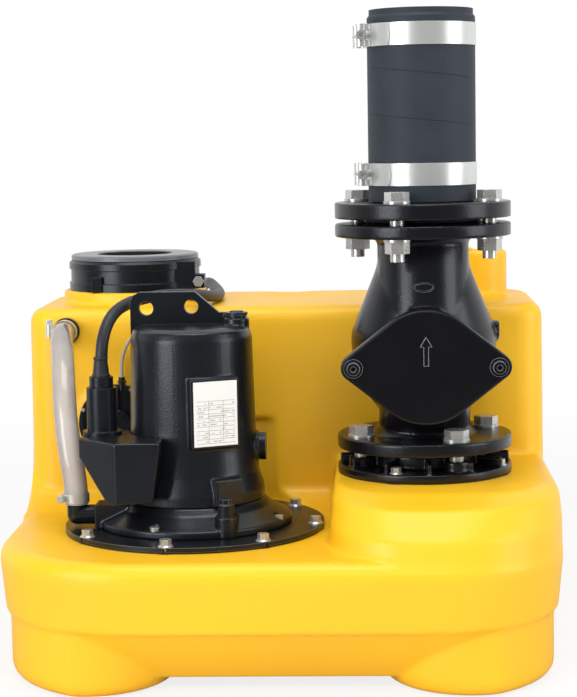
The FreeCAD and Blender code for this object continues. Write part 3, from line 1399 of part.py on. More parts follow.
def valve_cover():
    """Diamond cover with a raised flow arrow."""
    x, port = S.valve_x.value, port_z.value
    back = S.valve_y.value - S.port_face.value - S.cover_gasket.value
    thick = S.cover_thickness.value
    lens = lens_face(S.port_big_radius.value, S.port_small_radius.value, S.port_screw_offset.value, back, port)
    plate = lens.extrude(Vector(0, -thick, 0))
    front = back - thick
    edges = [edge for edge in plate.Edges if edge.BoundBox.YMax < front + 1e-4]
    plate = plate.makeFillet(2.5, edges)
    relief = 0.8
    shaft_half, shaft_low, shaft_top = 2.6, port + 2.0, port + 23.0
    wing_half, tip_height = 6.5, port + 34.0
    shaft = Part.makeBox(2 * shaft_half, relief + 1.0, shaft_top - shaft_low,
                         Vector(x - shaft_half, front - relief, shaft_low))
    wings = [Vector(x - wing_half, front + 1.0, shaft_top), Vector(x + wing_half, front + 1.0, shaft_top)]
    outline = Part.makePolygon([*wings, Vector(x, front + 1.0, tip_height), wings[0]])
    head = Part.Face(outline).extrude(Vector(0, -relief - 1.0, 0))
    return plate.fuse([shaft, head]).cut(cover_holes(back + 1.0, thick + 3.0))


piece("valve_cover", solid_feature(valve_cover()))


def cover_gasket():
    """Flat gasket behind the cover."""
    port = port_z.value
    back = S.valve_y.value - S.port_face.value
    lens = lens_face(S.port_big_radius.value - 1.0, S.port_small_radius.value - 1.0, S.port_screw_offset.value,
                     back, port)
    opening = Part.makeCylinder(S.port_big_radius.value - 16.0, 6.0, Vector(S.valve_x.value, back + 2.0, port),
                                Vector(0, -1, 0))
    return lens.extrude(Vector(0, -S.cover_gasket.value, 0)).cut([opening] + cover_holes(back + 1.0, 5.0))


piece("cover_gasket", solid_feature(cover_gasket()))
cover_front = S.valve_y - S.port_face - S.cover_gasket - S.cover_thickness
piece("cover_screws", group([
    cut(fuse(cylinder(S.bolt_radius, 24.0, (S.valve_x + side * S.port_screw_offset, cover_front + 22.0, port_z), "-Y"),
             cylinder(10.5, 1.6, (S.valve_x + side * S.port_screw_offset, cover_front, port_z), "-Y"),
             cylinder(7.0, 8.0, (S.valve_x + side * S.port_screw_offset, cover_front, port_z), "-Y")),
        hexagon(6.0, 5.0, (S.valve_x + side * S.port_screw_offset, cover_front - 8.0, port_z), "Y"))
    for side in (-1, 1)]))


def valve_flap():
    """Round flap with its arm and knuckle, closed on the sloping seat."""
    reach = S.hinge_back.value / math.cos(math.radians(S.seat_tilt.value))
    lift = 0.4
    thick = S.flap_thickness.value
    disc = Part.makeCylinder(S.flap_radius.value, thick, Vector(0, -reach, lift))
    disc = disc.makeFillet(1.5, [edge for edge in disc.Edges if edge.BoundBox.ZMin > lift + thick - 0.01])
    arm = Part.makeBox(20.0, reach, 8.0, Vector(-10.0, -reach, lift + 2.0))
    knuckle = Part.makeCylinder(9.0, 38.0, Vector(-19.0, 0, 0), Vector(1, 0, 0))
    stud = Part.makeCylinder(9.0, 8.0, Vector(0, -reach, lift + thick - 1.0))
    bore = Part.makeCylinder(S.flap_pin_radius.value + S.running_clearance.value, 60.0, Vector(-30.0, 0, 0),
                             Vector(1, 0, 0))
    flap = disc.fuse([arm, knuckle, stud]).cut(bore)
    flap.rotate(Vector(0, 0, 0), Vector(1, 0, 0), S.seat_tilt.value)
    flap.translate(Vector(S.valve_x.value, S.valve_y.value + S.hinge_back.value, hinge_z.value))
    return flap


piece("valve_flap", solid_feature(valve_flap()))
piece("flap_pin", cylinder(S.flap_pin_radius, 126.0,
                           (S.valve_x - 63.0, S.valve_y + S.hinge_back, hinge_z), "X"))

# Flange bolts

washer_height = 3.0
nut_height = 13.0
lower_seat = valve_base + S.raised_face + S.flange_thickness
upper_low = valve_top - S.raised_face - S.flange_thickness
lower_grip = lower_seat + washer_height - tower_seat - 4.0
upper_grip = stub_top - upper_low + 2 * washer_height + nut_height + 9.0
nut_base = upper_low - washer_height - nut_height
bolts = [plain_bolt(S.flange_bolt_radius, lower_grip, S.flange_bolt_across, 10.0, point, lower_seat + washer_height)
         for point in LOWER_BOLTS]
bolts += [plain_bolt(S.flange_bolt_radius, upper_grip, S.flange_bolt_across, 10.0, point, stub_top + washer_height)
          for point in UPPER_BOLTS]
piece("flange_bolts", group(bolts))
washer_places = [(x, y, lower_seat) for x, y in LOWER_BOLTS]
washer_places += [(x, y, stub_top) for x, y in UPPER_BOLTS]
washer_places += [(x, y, upper_low - washer_height) for x, y in UPPER_BOLTS]
piece("flange_washers", group([
    tube(15.0, S.flange_bolt_radius + 0.3, washer_height, at) for at in washer_places]))
piece("flange_nuts", group([
    cut(hexagon(S.flange_bolt_across, nut_height, (x, y, nut_base)),
        cylinder(S.flange_bolt_radius + S.fit_gap, nut_height, (x, y, nut_base)))
    for x, y in UPPER_BOLTS]))

# Upper flange, rubber sleeve and its clamps

piece("flange_stub", cut(
    spun([
        (S.stub_pipe_bore, 0.0), (S.raised_face_radius, 0.0), (S.raised_face_radius, S.raised_face),
        (S.flange_radius, S.raised_face), (S.flange_radius, stub_top - stub_base),
        (S.stub_pipe_radius, stub_top - stub_base), (S.stub_pipe_radius, stub_top - stub_base + S.stub_pipe_length),
        (S.stub_pipe_bore, stub_top - stub_base + S.stub_pipe_length),
    ], (*VALVE, stub_base)),
    *[cylinder(S.flange_hole_radius, 40.0, (x, y, stub_base - 5.0)) for x, y in UPPER_BOLTS]))
stop_low = stub_top + S.stub_pipe_length + 0.2 - sleeve_base
stop_bore = S.stub_pipe_bore + 2.0
piece("rubber_sleeve", spun([
    (S.sleeve_bore, 0.0), (S.sleeve_radius, 0.0), (S.sleeve_radius, S.sleeve_height - 9.0),
    (S.sleeve_radius - 2.3, S.sleeve_height - 6.0), (S.sleeve_radius - 2.3, S.sleeve_height),
    (S.sleeve_bore, S.sleeve_height), (S.sleeve_bore, stop_low + S.sleeve_stop),
    (stop_bore, stop_low + S.sleeve_stop), (stop_bore, stop_low), (S.sleeve_bore, stop_low),
], (*VALVE, sleeve_base)))


lock_angle = math.radians(-85.0)
trunnion_spread = math.radians(17.0)
lock_distance = S.sleeve_radius + S.band_thickness + 8.0
trunnion_radius = 5.5
trunnion_shift = lock_distance * math.tan(trunnion_spread)
lap_thickness = 1.2
lap_reach = 36.0
lap_rounding = 30.0
arm_height = 7.0
clamp_bolt_radius = 3.0
clamp_bolt_grip = trunnion_shift + trunnion_radius


def upright_rod(radius, height, distance, angle, low):
    """Upright cylinder at an angle from the front of the valve."""
    return cylinder(radius, height,
                    (S.valve_x + distance * math.sin(angle), S.valve_y - distance * math.cos(angle), low))


def on_lock(item, shift, level):
    """Lay an upright item along the lock's bolt, whose far end points to the front."""
    across, along = math.cos(lock_angle), math.sin(lock_angle)
    turn = Rotation(Vector(0, 0, 1), Vector(across, along, 0))
    return place(item, (S.valve_x + lock_distance * along + shift * across,
                        S.valve_y - lock_distance * across + shift * along, level), turn)


def band_clamp(low):
    """Wide band, the rounded lap of its strap and the two trunnions of its lock at the left."""
    inner = S.sleeve_radius + S.fit_gap
    outer = inner + S.band_thickness
    base = sleeve_base + low
    middle = base + S.band_width / 2
    parts = [cylinder(outer, S.band_width, (*VALVE, base))]
    parts.append(common(
        cylinder(outer + lap_thickness, S.band_width, (*VALVE, base)),
        cylinder(lap_rounding, outer + 5.0, (S.valve_x - lap_reach - lap_rounding, S.valve_y, middle), "-Y")))
    for angle in (lock_angle - trunnion_spread, lock_angle + trunnion_spread):
        parts.append(upright_rod(trunnion_radius, S.band_width, lock_distance * (1 / math.cos(trunnion_spread)),
                                 angle, base))
        for arm_base in (base, base + S.band_width - arm_height):
            parts.append(upright_rod(trunnion_radius - 1.0, arm_height, outer + 4.0, angle, arm_base))
    drill = on_lock(cylinder(clamp_bolt_radius + 0.3, 2 * clamp_bolt_grip + 10.0, (0, 0, 0)),
                    -clamp_bolt_grip - 5.0, middle)
    return cut(fuse(*parts), drill, cylinder(inner, S.band_width, (*VALVE, base)))


def band_bolt(low):
    """Cross bolt that pulls the two trunnions together, its round head to the front, with its nut."""
    level = sleeve_base + low + S.band_width / 2
    shank = on_lock(cylinder(clamp_bolt_radius, 2 * clamp_bolt_grip + 9.0, (0, 0, 0)), -clamp_bolt_grip - 9.0, level)
    head = on_lock(cut(cylinder(5.7, 4.5, (0, 0, 0)), hexagon(5.0, 2.5, (0, 0, 2.5))), clamp_bolt_grip, level)
    nut = on_lock(hexagon(10.0, 6.0, (0, 0, 0)), -clamp_bolt_grip - 6.0, level)
    return fuse(shank, head, nut)


piece("band_clamps", group([band_clamp(S.lower_band_height), band_clamp(S.upper_band_height)]))
piece("clamp_bolts", group([band_bolt(S.lower_band_height), band_bolt(S.upper_band_height), collar_bolt]))

# Terminal box and cable entry at the left front of the motor

CONNECTOR = (S.pump_x - 100.0, S.pump_y - 28.0)
box_top = housing_base + 76.0


def terminal_box():
    """Hollow box with sloping underside that fits against the motor housing."""
    front = -102.0
    side_view = prism([
        (-123.0, 1.0), (-28.0, 1.0), (-28.0, -6.0), (-37.0, -66.0), (-87.0, -69.0), (-123.0, -20.0),
    ], 120.0, (S.pump_x, S.pump_y + 10.0, box_top), Rotation(Vector(1, 0, 0), 90))
    top_view = prism([
        (-123.0, -4.0), (-123.0, -60.0), (-78.0, front), (-26.0, front), (-26.0, -4.0),
    ], 100.0, (*PUMP, box_top - 80.0))
    outer = common(side_view, top_view)
    room = common(
        prism([(-117.0, -5.0), (-33.0, -5.0), (-42.0, -60.0), (-84.0, -62.0), (-117.0, -22.0)], 110.0,
              (S.pump_x, S.pump_y + 4.0, box_top), Rotation(Vector(1, 0, 0), 90)),
        prism([(-117.0, -14.0), (-117.0, -56.0), (-76.0, front + 6.0), (-32.0, front + 6.0), (-32.0, -14.0)], 100.0,
              (*PUMP, box_top - 80.0)))
    motor = spun(motor_outline(S.fit_gap), (*PUMP, housing_base))
    liner = spun(motor_outline(5.0), (*PUMP, housing_base))
    wire_hole = cylinder(9.0, 60.0, (S.pump_x - 40.0, S.pump_y - 46.0, housing_base + 44.0), "-X")
    entry = cylinder(11.0, 20.0, (*CONNECTOR, box_top - 10.0))
    return cut(outer, cut(room, liner), motor, wire_hole, entry)


piece("terminal_box", terminal_box())
connector_base = box_top + 1.0
connector_height = 53.0
piece("cable_connector", cut(fuse(
    cylinder(10.8, 14.0, (*CONNECTOR, connector_base - 9.0)),
    cylinder(22.0, 4.0, (*CONNECTOR, connector_base)),
    cylinder(17.0, connector_height - 2.0, (*CONNECTOR, connector_base + 2.0))),
    cylinder(S.cable_radius + 0.1, connector_height + 20.0, (*CONNECTOR, connector_base - 10.0))))
connector_top = connector_base + connector_height
piece("connector_nut", tube(13.5, S.cable_radius + 0.1, 12.0, (*CONNECTOR, connector_top + 0.2)))

# Power cable with its coil and plug behind the tank

CABLE_ROUTE = [
    (-199.0, -116.0, 316.0), (-199.0, -116.0, 346.0), (-197.0, -107.0, 376.0), (-189.0, -86.0, 398.0),
    (-174.0, -56.0, 408.0), (-149.0, -23.0, 412.0), (-120.0, 11.0, 411.0), (-98.0, 50.0, 406.0),
    (-86.0, 96.0, 401.0), (-84.0, 146.0, 399.6), (-90.0, 194.0, 399.8), (-98.0, 236.0, 401.5), (-107.0, 270.0, 405.0),
    (-117.0, 303.0, 401.0), (-127.0, 331.0, 384.0), (-136.0, 350.0, 357.0), (-142.0, 359.0, 322.0),
    (-146.0, 360.0, 280.0), (-150.0, 354.0, 232.0), (-154.0, 346.0, 180.0), (-157.0, 338.0, 140.0),
    (-159.5, 335.0, 106.0), (-161.5, 340.0, 73.0), (-163.0, 353.0, 43.0), (-164.0, 375.0, 19.5),
]
LEAD_IN = 33.0
COIL_CENTRE = (-60.0, 438.0)
COIL_TURNS = 2.5
COIL_FLOOR = 8.2


def coil_stations():
    """Quarter turn stations of a coil that spirals in, climbs a layer and spirals out: points and ways."""
    pitch = S.coil_pitch.value
    start = S.coil_radius.value + pitch * COIL_TURNS / 2
    least = start - pitch * COIL_TURNS
    quarters = int(4 * COIL_TURNS)
    stations = []
    for number in range(2 * quarters + 3):
        if number <= quarters:
            radius, slope = start - pitch * number / 4, -pitch / (2 * math.pi)
            height = COIL_FLOOR
        elif number == quarters + 1:
            radius, slope, height = least - pitch / 4, 0.0, COIL_FLOOR + pitch / 2
        else:
            radius, slope = least + pitch * (number - quarters - 2) / 4, pitch / (2 * math.pi)
            height = COIL_FLOOR + pitch
        angle = math.pi - number * math.pi / 2
        spot = Vector(COIL_CENTRE[0] + radius * math.cos(angle), COIL_CENTRE[1] + radius * math.sin(angle), height)
        way = Vector(math.sin(angle), -math.cos(angle), 0) * radius + Vector(math.cos(angle), math.sin(angle), 0) * slope
        if number == quarters + 1:
            way = way + Vector(0, 0, pitch / math.pi * 1.5)
        stations.append((spot, way.normalize()))
    return stations


def coil_path():
    """One unbroken line through the stations."""
    stations = coil_stations()
    edges = []
    for (start, start_way), (end, end_way) in zip(stations, stations[1:]):
        edges += biarc(start, start_way, end, end_way)
    return Part.Wire(edges), stations


def least_gap(path, radius):
    """Least gap between stretches of a path that are more than half a turn apart."""
    points = []
    travelled = 0.0
    for edge in path.Edges:
        for spot in edge.discretize(9)[:-1]:
            points.append((travelled, spot))
            travelled += edge.Length / 8
    least = 1e9
    for number, (here, spot) in enumerate(points):
        for there, other in points[number + 1:]:
            if there - here > 200.0:
                least = min(least, (spot - other).Length)
    return least - 2 * radius


coil_line, STATIONS = coil_path()
coil_start, coil_way = STATIONS[0]
lead_start = coil_start - coil_way * LEAD_IN
cable_line, cable_radii = rounded_path(CABLE_ROUTE + [tuple(lead_start), tuple(coil_start)])
cable_section = math.pi * S.cable_radius.value ** 2
cable_solid = swept(cable_line, S.cable_radius.value)
report_tube("power cable", cable_solid, cable_line, cable_section, cable_radii)
print("power cable radii", [round(radius) for radius in cable_radii])
piece("power_cable", solid_feature(cable_solid))
coil_solid = swept(coil_line, S.cable_radius.value)
coil_radii = [edge.Curve.Radius for edge in coil_line.Edges if hasattr(edge.Curve, "Radius")]
report_tube("cable coil", coil_solid, coil_line, cable_section, coil_radii)
print("least gap in the coil", round(least_gap(coil_line, S.cable_radius.value), 2))
piece("cable_coil", solid_feature(coil_solid))
coil_end, coil_end_way = STATIONS[-1]
PLUG = (142.0, 338.0, 20.4)
TAIL_ROUTE = [
    tuple(coil_end), tuple(coil_end + coil_end_way * LEAD_IN), (56.0, 373.0, 20.0), (80.0, 350.0, 17.5),
    (110.0, 338.0, 20.4), PLUG,
]
tail_line, tail_radii = rounded_path(TAIL_ROUTE)
tail_solid = swept(tail_line, S.cable_radius.value)
report_tube("cable tail", tail_solid, tail_line, cable_section, tail_radii)
piece("cable_tail", solid_feature(tail_solid))
plug_x, plug_y, plug_z = PLUG
piece("cable_plug", fuse(
    cone(9.0, 12.0, 22.0, PLUG, "X"),
    cone(14.0, 20.0, 12.0, (plug_x + 22.0, plug_y, plug_z), "X"),
    cylinder(20.0, 18.0, (plug_x + 34.0, plug_y, plug_z), "X"),
    *[cylinder(2.4, 20.0, (plug_x + 51.0, plug_y + side * 9.5, plug_z), "X") for side in (-1, 1)]))
tie_thickness = 0.8
tie_near = COIL_CENTRE[1] + S.coil_radius - 1.5 * S.coil_pitch - 1.0
tie_far = COIL_CENTRE[1] + S.coil_radius + 1.5 * S.coil_pitch + 1.0
tie_top = COIL_FLOOR + S.coil_pitch + S.cable_radius + 0.2
tie_bottom = COIL_FLOOR - S.cable_radius - 0.2
piece("coil_tie", cut(
    block((COIL_CENTRE[0] - 9.0, tie_near - tie_thickness, tie_bottom - tie_thickness),
          (COIL_CENTRE[0] + 9.0, tie_far + tie_thickness, tie_top + tie_thickness)),
    block((COIL_CENTRE[0] - 9.0, tie_near, tie_bottom), (COIL_CENTRE[0] + 9.0, tie_far, tie_top))))

# Grey sensor tube

SENSOR_ROUTE = [
    (-196.0, 36.0, 309.0), (-196.0, 36.0, 322.0), (-193.5, 33.0, 337.0), (-187.0, 27.0, 352.0),
    (-178.0, 19.0, 362.5), (-166.5, 14.5, 370.0), (-155.5, 19.0, 373.0), (-150.0, 30.5, 372.0), (-150.0, 43.0, 372.0),
]


def sensor_tube():
    """Thin grey tube from the sensor to the block's front wall behind the motor."""
    path, radii = rounded_path(SENSOR_ROUTE)
    solid = swept(path, S.sensor_tube_radius.value)
    report_tube("sensor tube", solid, path, math.pi * S.sensor_tube_radius.value ** 2, radii)
    return solid


piece("sensor_tube", solid_feature(sensor_tube()))

# Check every object, then write one file for each sub-part

doc.recompute()
broken = [item.Name for item in doc.Objects if "Invalid" in item.State or "Error" in item.State]
if broken:
    raise RuntimeError("objects that did not compute: " + ", ".join(broken))
for label, item in PIECES.items():
    if item.Shape.isNull() or not item.Shape.isValid():
        raise RuntimeError("sub-part with a bad shape: " + label)
os.makedirs("parts", exist_ok=True)
for label, item in PIECES.items():
    item.Shape.exportStep(os.path.join("parts", label + ".step"))
print(len(PIECES), "sub-parts written")
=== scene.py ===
"""Looks of a floor standing sewage lifting station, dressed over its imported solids."""

from __future__ import annotations

import json
import logging
import math
from dataclasses import dataclass
from enum import Enum
from typing import Sequence

import bpy
from mathutils import Matrix, Vector

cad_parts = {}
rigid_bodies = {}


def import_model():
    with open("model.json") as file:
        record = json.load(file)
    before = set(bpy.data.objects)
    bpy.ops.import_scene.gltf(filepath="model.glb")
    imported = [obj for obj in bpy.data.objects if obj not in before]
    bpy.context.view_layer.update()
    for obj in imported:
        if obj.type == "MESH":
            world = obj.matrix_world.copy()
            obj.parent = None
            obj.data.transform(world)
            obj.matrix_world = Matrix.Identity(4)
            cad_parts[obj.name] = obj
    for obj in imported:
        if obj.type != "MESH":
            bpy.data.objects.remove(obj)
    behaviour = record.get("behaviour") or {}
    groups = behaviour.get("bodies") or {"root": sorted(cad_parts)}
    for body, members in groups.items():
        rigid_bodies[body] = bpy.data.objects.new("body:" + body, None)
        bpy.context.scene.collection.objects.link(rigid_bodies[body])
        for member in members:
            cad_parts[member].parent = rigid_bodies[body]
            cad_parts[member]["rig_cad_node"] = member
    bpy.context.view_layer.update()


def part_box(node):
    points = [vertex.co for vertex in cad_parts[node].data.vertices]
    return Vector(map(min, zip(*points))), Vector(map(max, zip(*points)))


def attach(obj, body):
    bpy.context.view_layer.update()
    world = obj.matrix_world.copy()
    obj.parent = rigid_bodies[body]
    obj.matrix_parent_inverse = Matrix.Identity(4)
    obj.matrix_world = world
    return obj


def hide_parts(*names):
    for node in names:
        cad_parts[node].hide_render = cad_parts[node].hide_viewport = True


LOG = logging.getLogger("lifting_station")
MM = 0.001
PHOTO_HEIGHT = 697
FULL_TONE = 255.0
GRAIN_LAYERS = 3.0
PATCH_LAYERS = 2.0
EDGE_SAMPLES = 4
EDGE_GAIN = 6.0
MIX_COLOURS = slice(6, 8)
MIX_RESULT = 2
CORD_STEPS = 8
CORD_ROUNDNESS = 6

Colour = tuple[float, float, float]
Point = tuple[float, float, float]


def tone(red: int, green: int, blue: int) -> Colour:
    """Linear colour of a paint named by its three printed tones, each out of 255."""

    def linear(value: int) -> float:
        """One channel, from its printed tone to light."""
        share = value / FULL_TONE
        return share / 12.92 if share <= 0.04045 else ((share + 0.055) / 1.055) ** 2.4

    return linear(red), linear(green), linear(blue)


def metres(points: Sequence[Point]) -> list[Vector]:
    """The same points, from millimetres to metres."""
    return [Vector(point) * MM for point in points]


def clear_selection() -> None:
    """Nothing selected and nothing active, in object mode."""
    if bpy.context.object is not None and bpy.context.object.mode != "OBJECT":
        bpy.ops.object.mode_set(mode="OBJECT")
    bpy.ops.object.select_all(action="DESELECT")
    bpy.context.view_layer.objects.active = None


def pick(piece: bpy.types.Object) -> None:
    """Makes one object the only selected and the active one.

    Args:
        piece: The object that the next operators act on.
    """
    clear_selection()
    piece.select_set(True)
    bpy.context.view_layer.objects.active = piece


def dress(piece: bpy.types.Object, material: bpy.types.Material) -> None:
    """Gives one object one material all over.

    Args:
        piece: A mesh or a curve.
        material: The finish that it gets.
    """
    piece.data.materials.clear()
    piece.data.materials.append(material)


def frame_nodes() -> dict[str, bpy.types.Object]:
    """The CAD nodes by name."""
    return {item["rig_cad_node"]: item for item in bpy.data.objects if "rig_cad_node" in item}


def middle_of(node: str) -> Point:
    """The middle of a CAD node's box at rest, in metres."""
    low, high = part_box(node)
    return tuple((low + high) / 2)


def round_edges(piece: bpy.types.Object, width: float, smooth_under: float) -> None:
    """Rounds the edges of the active mesh and shades it smooth.

    Args:
        piece: The mesh, which is the active object.
        width: Width of the rounding in millimetres.
        smooth_under: Angle in degrees. Faces that meet at less are shaded as one.
    """
    rounding = piece.modifiers.new("rounding", "BEVEL")
    rounding.width = width * MM
    rounding.segments = 2
    bpy.ops.object.modifier_apply(modifier="rounding")
    bpy.ops.object.shade_smooth_by_angle(angle=math.radians(smooth_under))


def spline_piece(name: str, points: Sequence[Vector], radius: float) -> bpy.types.Object:
    """A round cord on one open smooth spline.

    Args:
        name: The piece's name.
        points: Control points in metres.
        radius: Half its thickness in metres.

    Returns:
        The curve object.
    """
    data = bpy.data.curves.new(name, "CURVE")
    data.dimensions = "3D"
    spline = data.splines.new("NURBS")
    spline.points.add(len(points) - 1)
    for control, point in zip(spline.points, points):
        control.co = (*point, 1.0)
    spline.order_u = 3
    spline.use_endpoint_u = True
    spline.resolution_u = CORD_STEPS
    data.bevel_depth = radius
    data.bevel_resolution = CORD_ROUNDNESS
    data.use_fill_caps = True
    piece = bpy.data.objects.new(name, data)
    bpy.context.scene.collection.objects.link(piece)
    return piece


def blank_material(name: str) -> tuple[bpy.types.Material, "ShaderTree"]:
    """A new material with an empty tree.

    Args:
        name: The finish's name.

    Returns:
        The material and its tree.
    """
    made = bpy.data.materials.new(name)
    made.use_nodes = True
    made.node_tree.nodes.clear()
    return made, ShaderTree(made.node_tree)


class ShaderTree:
    """A node tree with short ways to add and join nodes."""

    def __init__(self, tree: bpy.types.NodeTree) -> None:
        """Keeps the tree that the nodes go to."""
        self.tree = tree

    def add(self, kind: str, **settings: object) -> bpy.types.Node:
        """Adds a node.

        Args:
            kind: The node's type without its common first part.
            settings: Values of the node's own settings, such as operation.

        Returns:
            The new node.
        """
        node = self.tree.nodes.new("ShaderNode" + kind)
        for name, value in settings.items():
            setattr(node, name, value)
        return node

    def join(self, source: bpy.types.NodeSocket, target: bpy.types.NodeSocket) -> None:
        """Links one socket to another."""
        self.tree.links.new(source, target)

    def feed(self, socket: bpy.types.NodeSocket, value: object) -> None:
        """Gives an input what it reads: another socket, a colour or a number."""
        if isinstance(value, bpy.types.NodeSocket):
            self.join(value, socket)
        else:
            socket.default_value = (*value, 1.0) if isinstance(value, tuple) else value

    def math(self, operation: str, first: object, second: object) -> bpy.types.NodeSocket:
        """Adds a Math node of two values, each a socket or a number.

        Args:
            operation: The node's operation.
            first: The first value.
            second: The second value.

        Returns:
            The result's socket.
        """
        node = self.add("Math", operation=operation)
        for socket, value in zip(node.inputs, (first, second)):
            self.feed(socket, value)
        return node.outputs[0]

    def noise(self, place: bpy.types.NodeSocket, size: float, detail: float = 2.0) -> bpy.types.NodeSocket:
        """Adds a noise texture whose lumps have a real size.

        Args:
            place: The coordinates that it reads.
            size: Width of a lump in metres.
            detail: Number of finer layers.

        Returns:
            The noise value's socket.
        """
        node = self.add("TexNoise")
        node.inputs["Scale"].default_value = 1.0 / size
        node.inputs["Detail"].default_value = detail
        self.join(place, node.inputs["Vector"])
        return node.outputs[0]

    def centred(self, centre: Point) -> bpy.types.NodeSocket:
        """Adds object coordinates counted from one place.

        Args:
            centre: That place in metres.

        Returns:
            The coordinates' socket.
        """
        mapping = self.add("Mapping")
        mapping.inputs["Location"].default_value = tuple(-value for value in centre)
        self.join(self.add("TexCoord").outputs["Object"], mapping.inputs["Vector"])
        return mapping.outputs[0]

    def parts(self, place: bpy.types.NodeSocket) -> bpy.types.NodeOutputs:
        """Splits a place or a way into its X, Y and Z."""
        node = self.add("SeparateXYZ")
        self.join(place, node.inputs[0])
        return node.outputs

    def within_one(self, value: bpy.types.NodeSocket) -> bpy.types.NodeSocket:
        """Holds a value between 0 and 1."""
        return self.math("MINIMUM", self.math("MAXIMUM", value, 0.0), 1.0)

    def relief(self, height: bpy.types.NodeSocket, depth: float, shader: bpy.types.Node) -> bpy.types.Node:
        """Adds a Bump node to a shader.

        Args:
            height: The height that it reads.
            depth: How high the relief stands, in metres.
            shader: The shader whose normal it turns.

        Returns:
            The Bump node.
        """
        bump = self.add("Bump")
        bump.inputs["Distance"].default_value = depth
        self.join(height, bump.inputs["Height"])
        self.join(bump.outputs[0], shader.inputs["Normal"])
        return bump

    def show(self, shader: bpy.types.Node) -> None:
        """Joins a shader to the surface output."""
        self.join(shader.outputs[0], self.add("OutputMaterial").inputs["Surface"])

    def blend(self, share: bpy.types.NodeSocket, first: object, second: object) -> bpy.types.NodeSocket:
        """Adds a mix of two colours, each a socket or a colour.

        Args:
            share: How much of the second colour shows.
            first: The colour at share 0.
            second: The colour at share 1.

        Returns:
            The mixed colour's socket.
        """
        node = self.add("Mix", data_type="RGBA")
        self.join(share, node.inputs["Factor"])
        for socket, value in zip(node.inputs[MIX_COLOURS], (first, second)):
            self.feed(socket, value)
        return node.outputs[MIX_RESULT]


def grain_group() -> bpy.types.NodeTree:
    """The shared grain of cast, moulded and plated surfaces: a fine height and a broad mask.

    Returns:
        The node group, built on its first call.
    """
    name = "surface_grain"
    if name in bpy.data.node_groups:
        return bpy.data.node_groups[name]
    tree = bpy.data.node_groups.new(name, "ShaderNodeTree")
    tree.interface.new_socket("Grain Size", in_out="INPUT", socket_type="NodeSocketFloat")
    tree.interface.new_socket("Patch Size", in_out="INPUT", socket_type="NodeSocketFloat")
    tree.interface.new_socket("Height", in_out="OUTPUT", socket_type="NodeSocketFloat")
    tree.interface.new_socket("Patches", in_out="OUTPUT", socket_type="NodeSocketFloat")
    sketch = ShaderTree(tree)
    inputs = tree.nodes.new("NodeGroupInput")
    outputs = tree.nodes.new("NodeGroupOutput")
    place = sketch.add("TexCoord").outputs["Object"]
    pairs = (("Grain Size", "Height", GRAIN_LAYERS), ("Patch Size", "Patches", PATCH_LAYERS))
    for size, result, layers in pairs:
        texture = sketch.add("TexNoise")
        texture.inputs["Detail"].default_value = layers
        sketch.join(place, texture.inputs["Vector"])
        sketch.join(sketch.math("DIVIDE", 1.0, inputs.outputs[size]), texture.inputs["Scale"])
        sketch.join(texture.outputs[0], outputs.inputs[result])
    return tree


def edge_group() -> bpy.types.NodeTree:
    """The shared soft edge: a normal that rounds each edge and a mask of the edges themselves.

    Returns:
        The node group, built on its first call.
    """
    name = "soft_edges"
    if name in bpy.data.node_groups:
        return bpy.data.node_groups[name]
    tree = bpy.data.node_groups.new(name, "ShaderNodeTree")
    tree.interface.new_socket("Radius", in_out="INPUT", socket_type="NodeSocketFloat")
    tree.interface.new_socket("Normal", in_out="OUTPUT", socket_type="NodeSocketVector")
    tree.interface.new_socket("Edges", in_out="OUTPUT", socket_type="NodeSocketFloat")
    sketch = ShaderTree(tree)
    inputs = tree.nodes.new("NodeGroupInput")
    outputs = tree.nodes.new("NodeGroupOutput")
    rounding = sketch.add("Bevel", samples=EDGE_SAMPLES)
    sketch.join(inputs.outputs["Radius"], rounding.inputs["Radius"])
    likeness = sketch.add("VectorMath", operation="DOT_PRODUCT")
    sketch.join(rounding.outputs[0], likeness.inputs[0])
    sketch.join(sketch.add("NewGeometry").outputs["Normal"], likeness.inputs[1])
    sketch.join(rounding.outputs[0], outputs.inputs["Normal"])
    turn = sketch.math("SUBTRACT", 1.0, likeness.outputs["Value"])
    sketch.join(sketch.math("MULTIPLY", turn, EDGE_GAIN), outputs.inputs["Edges"])
    return tree


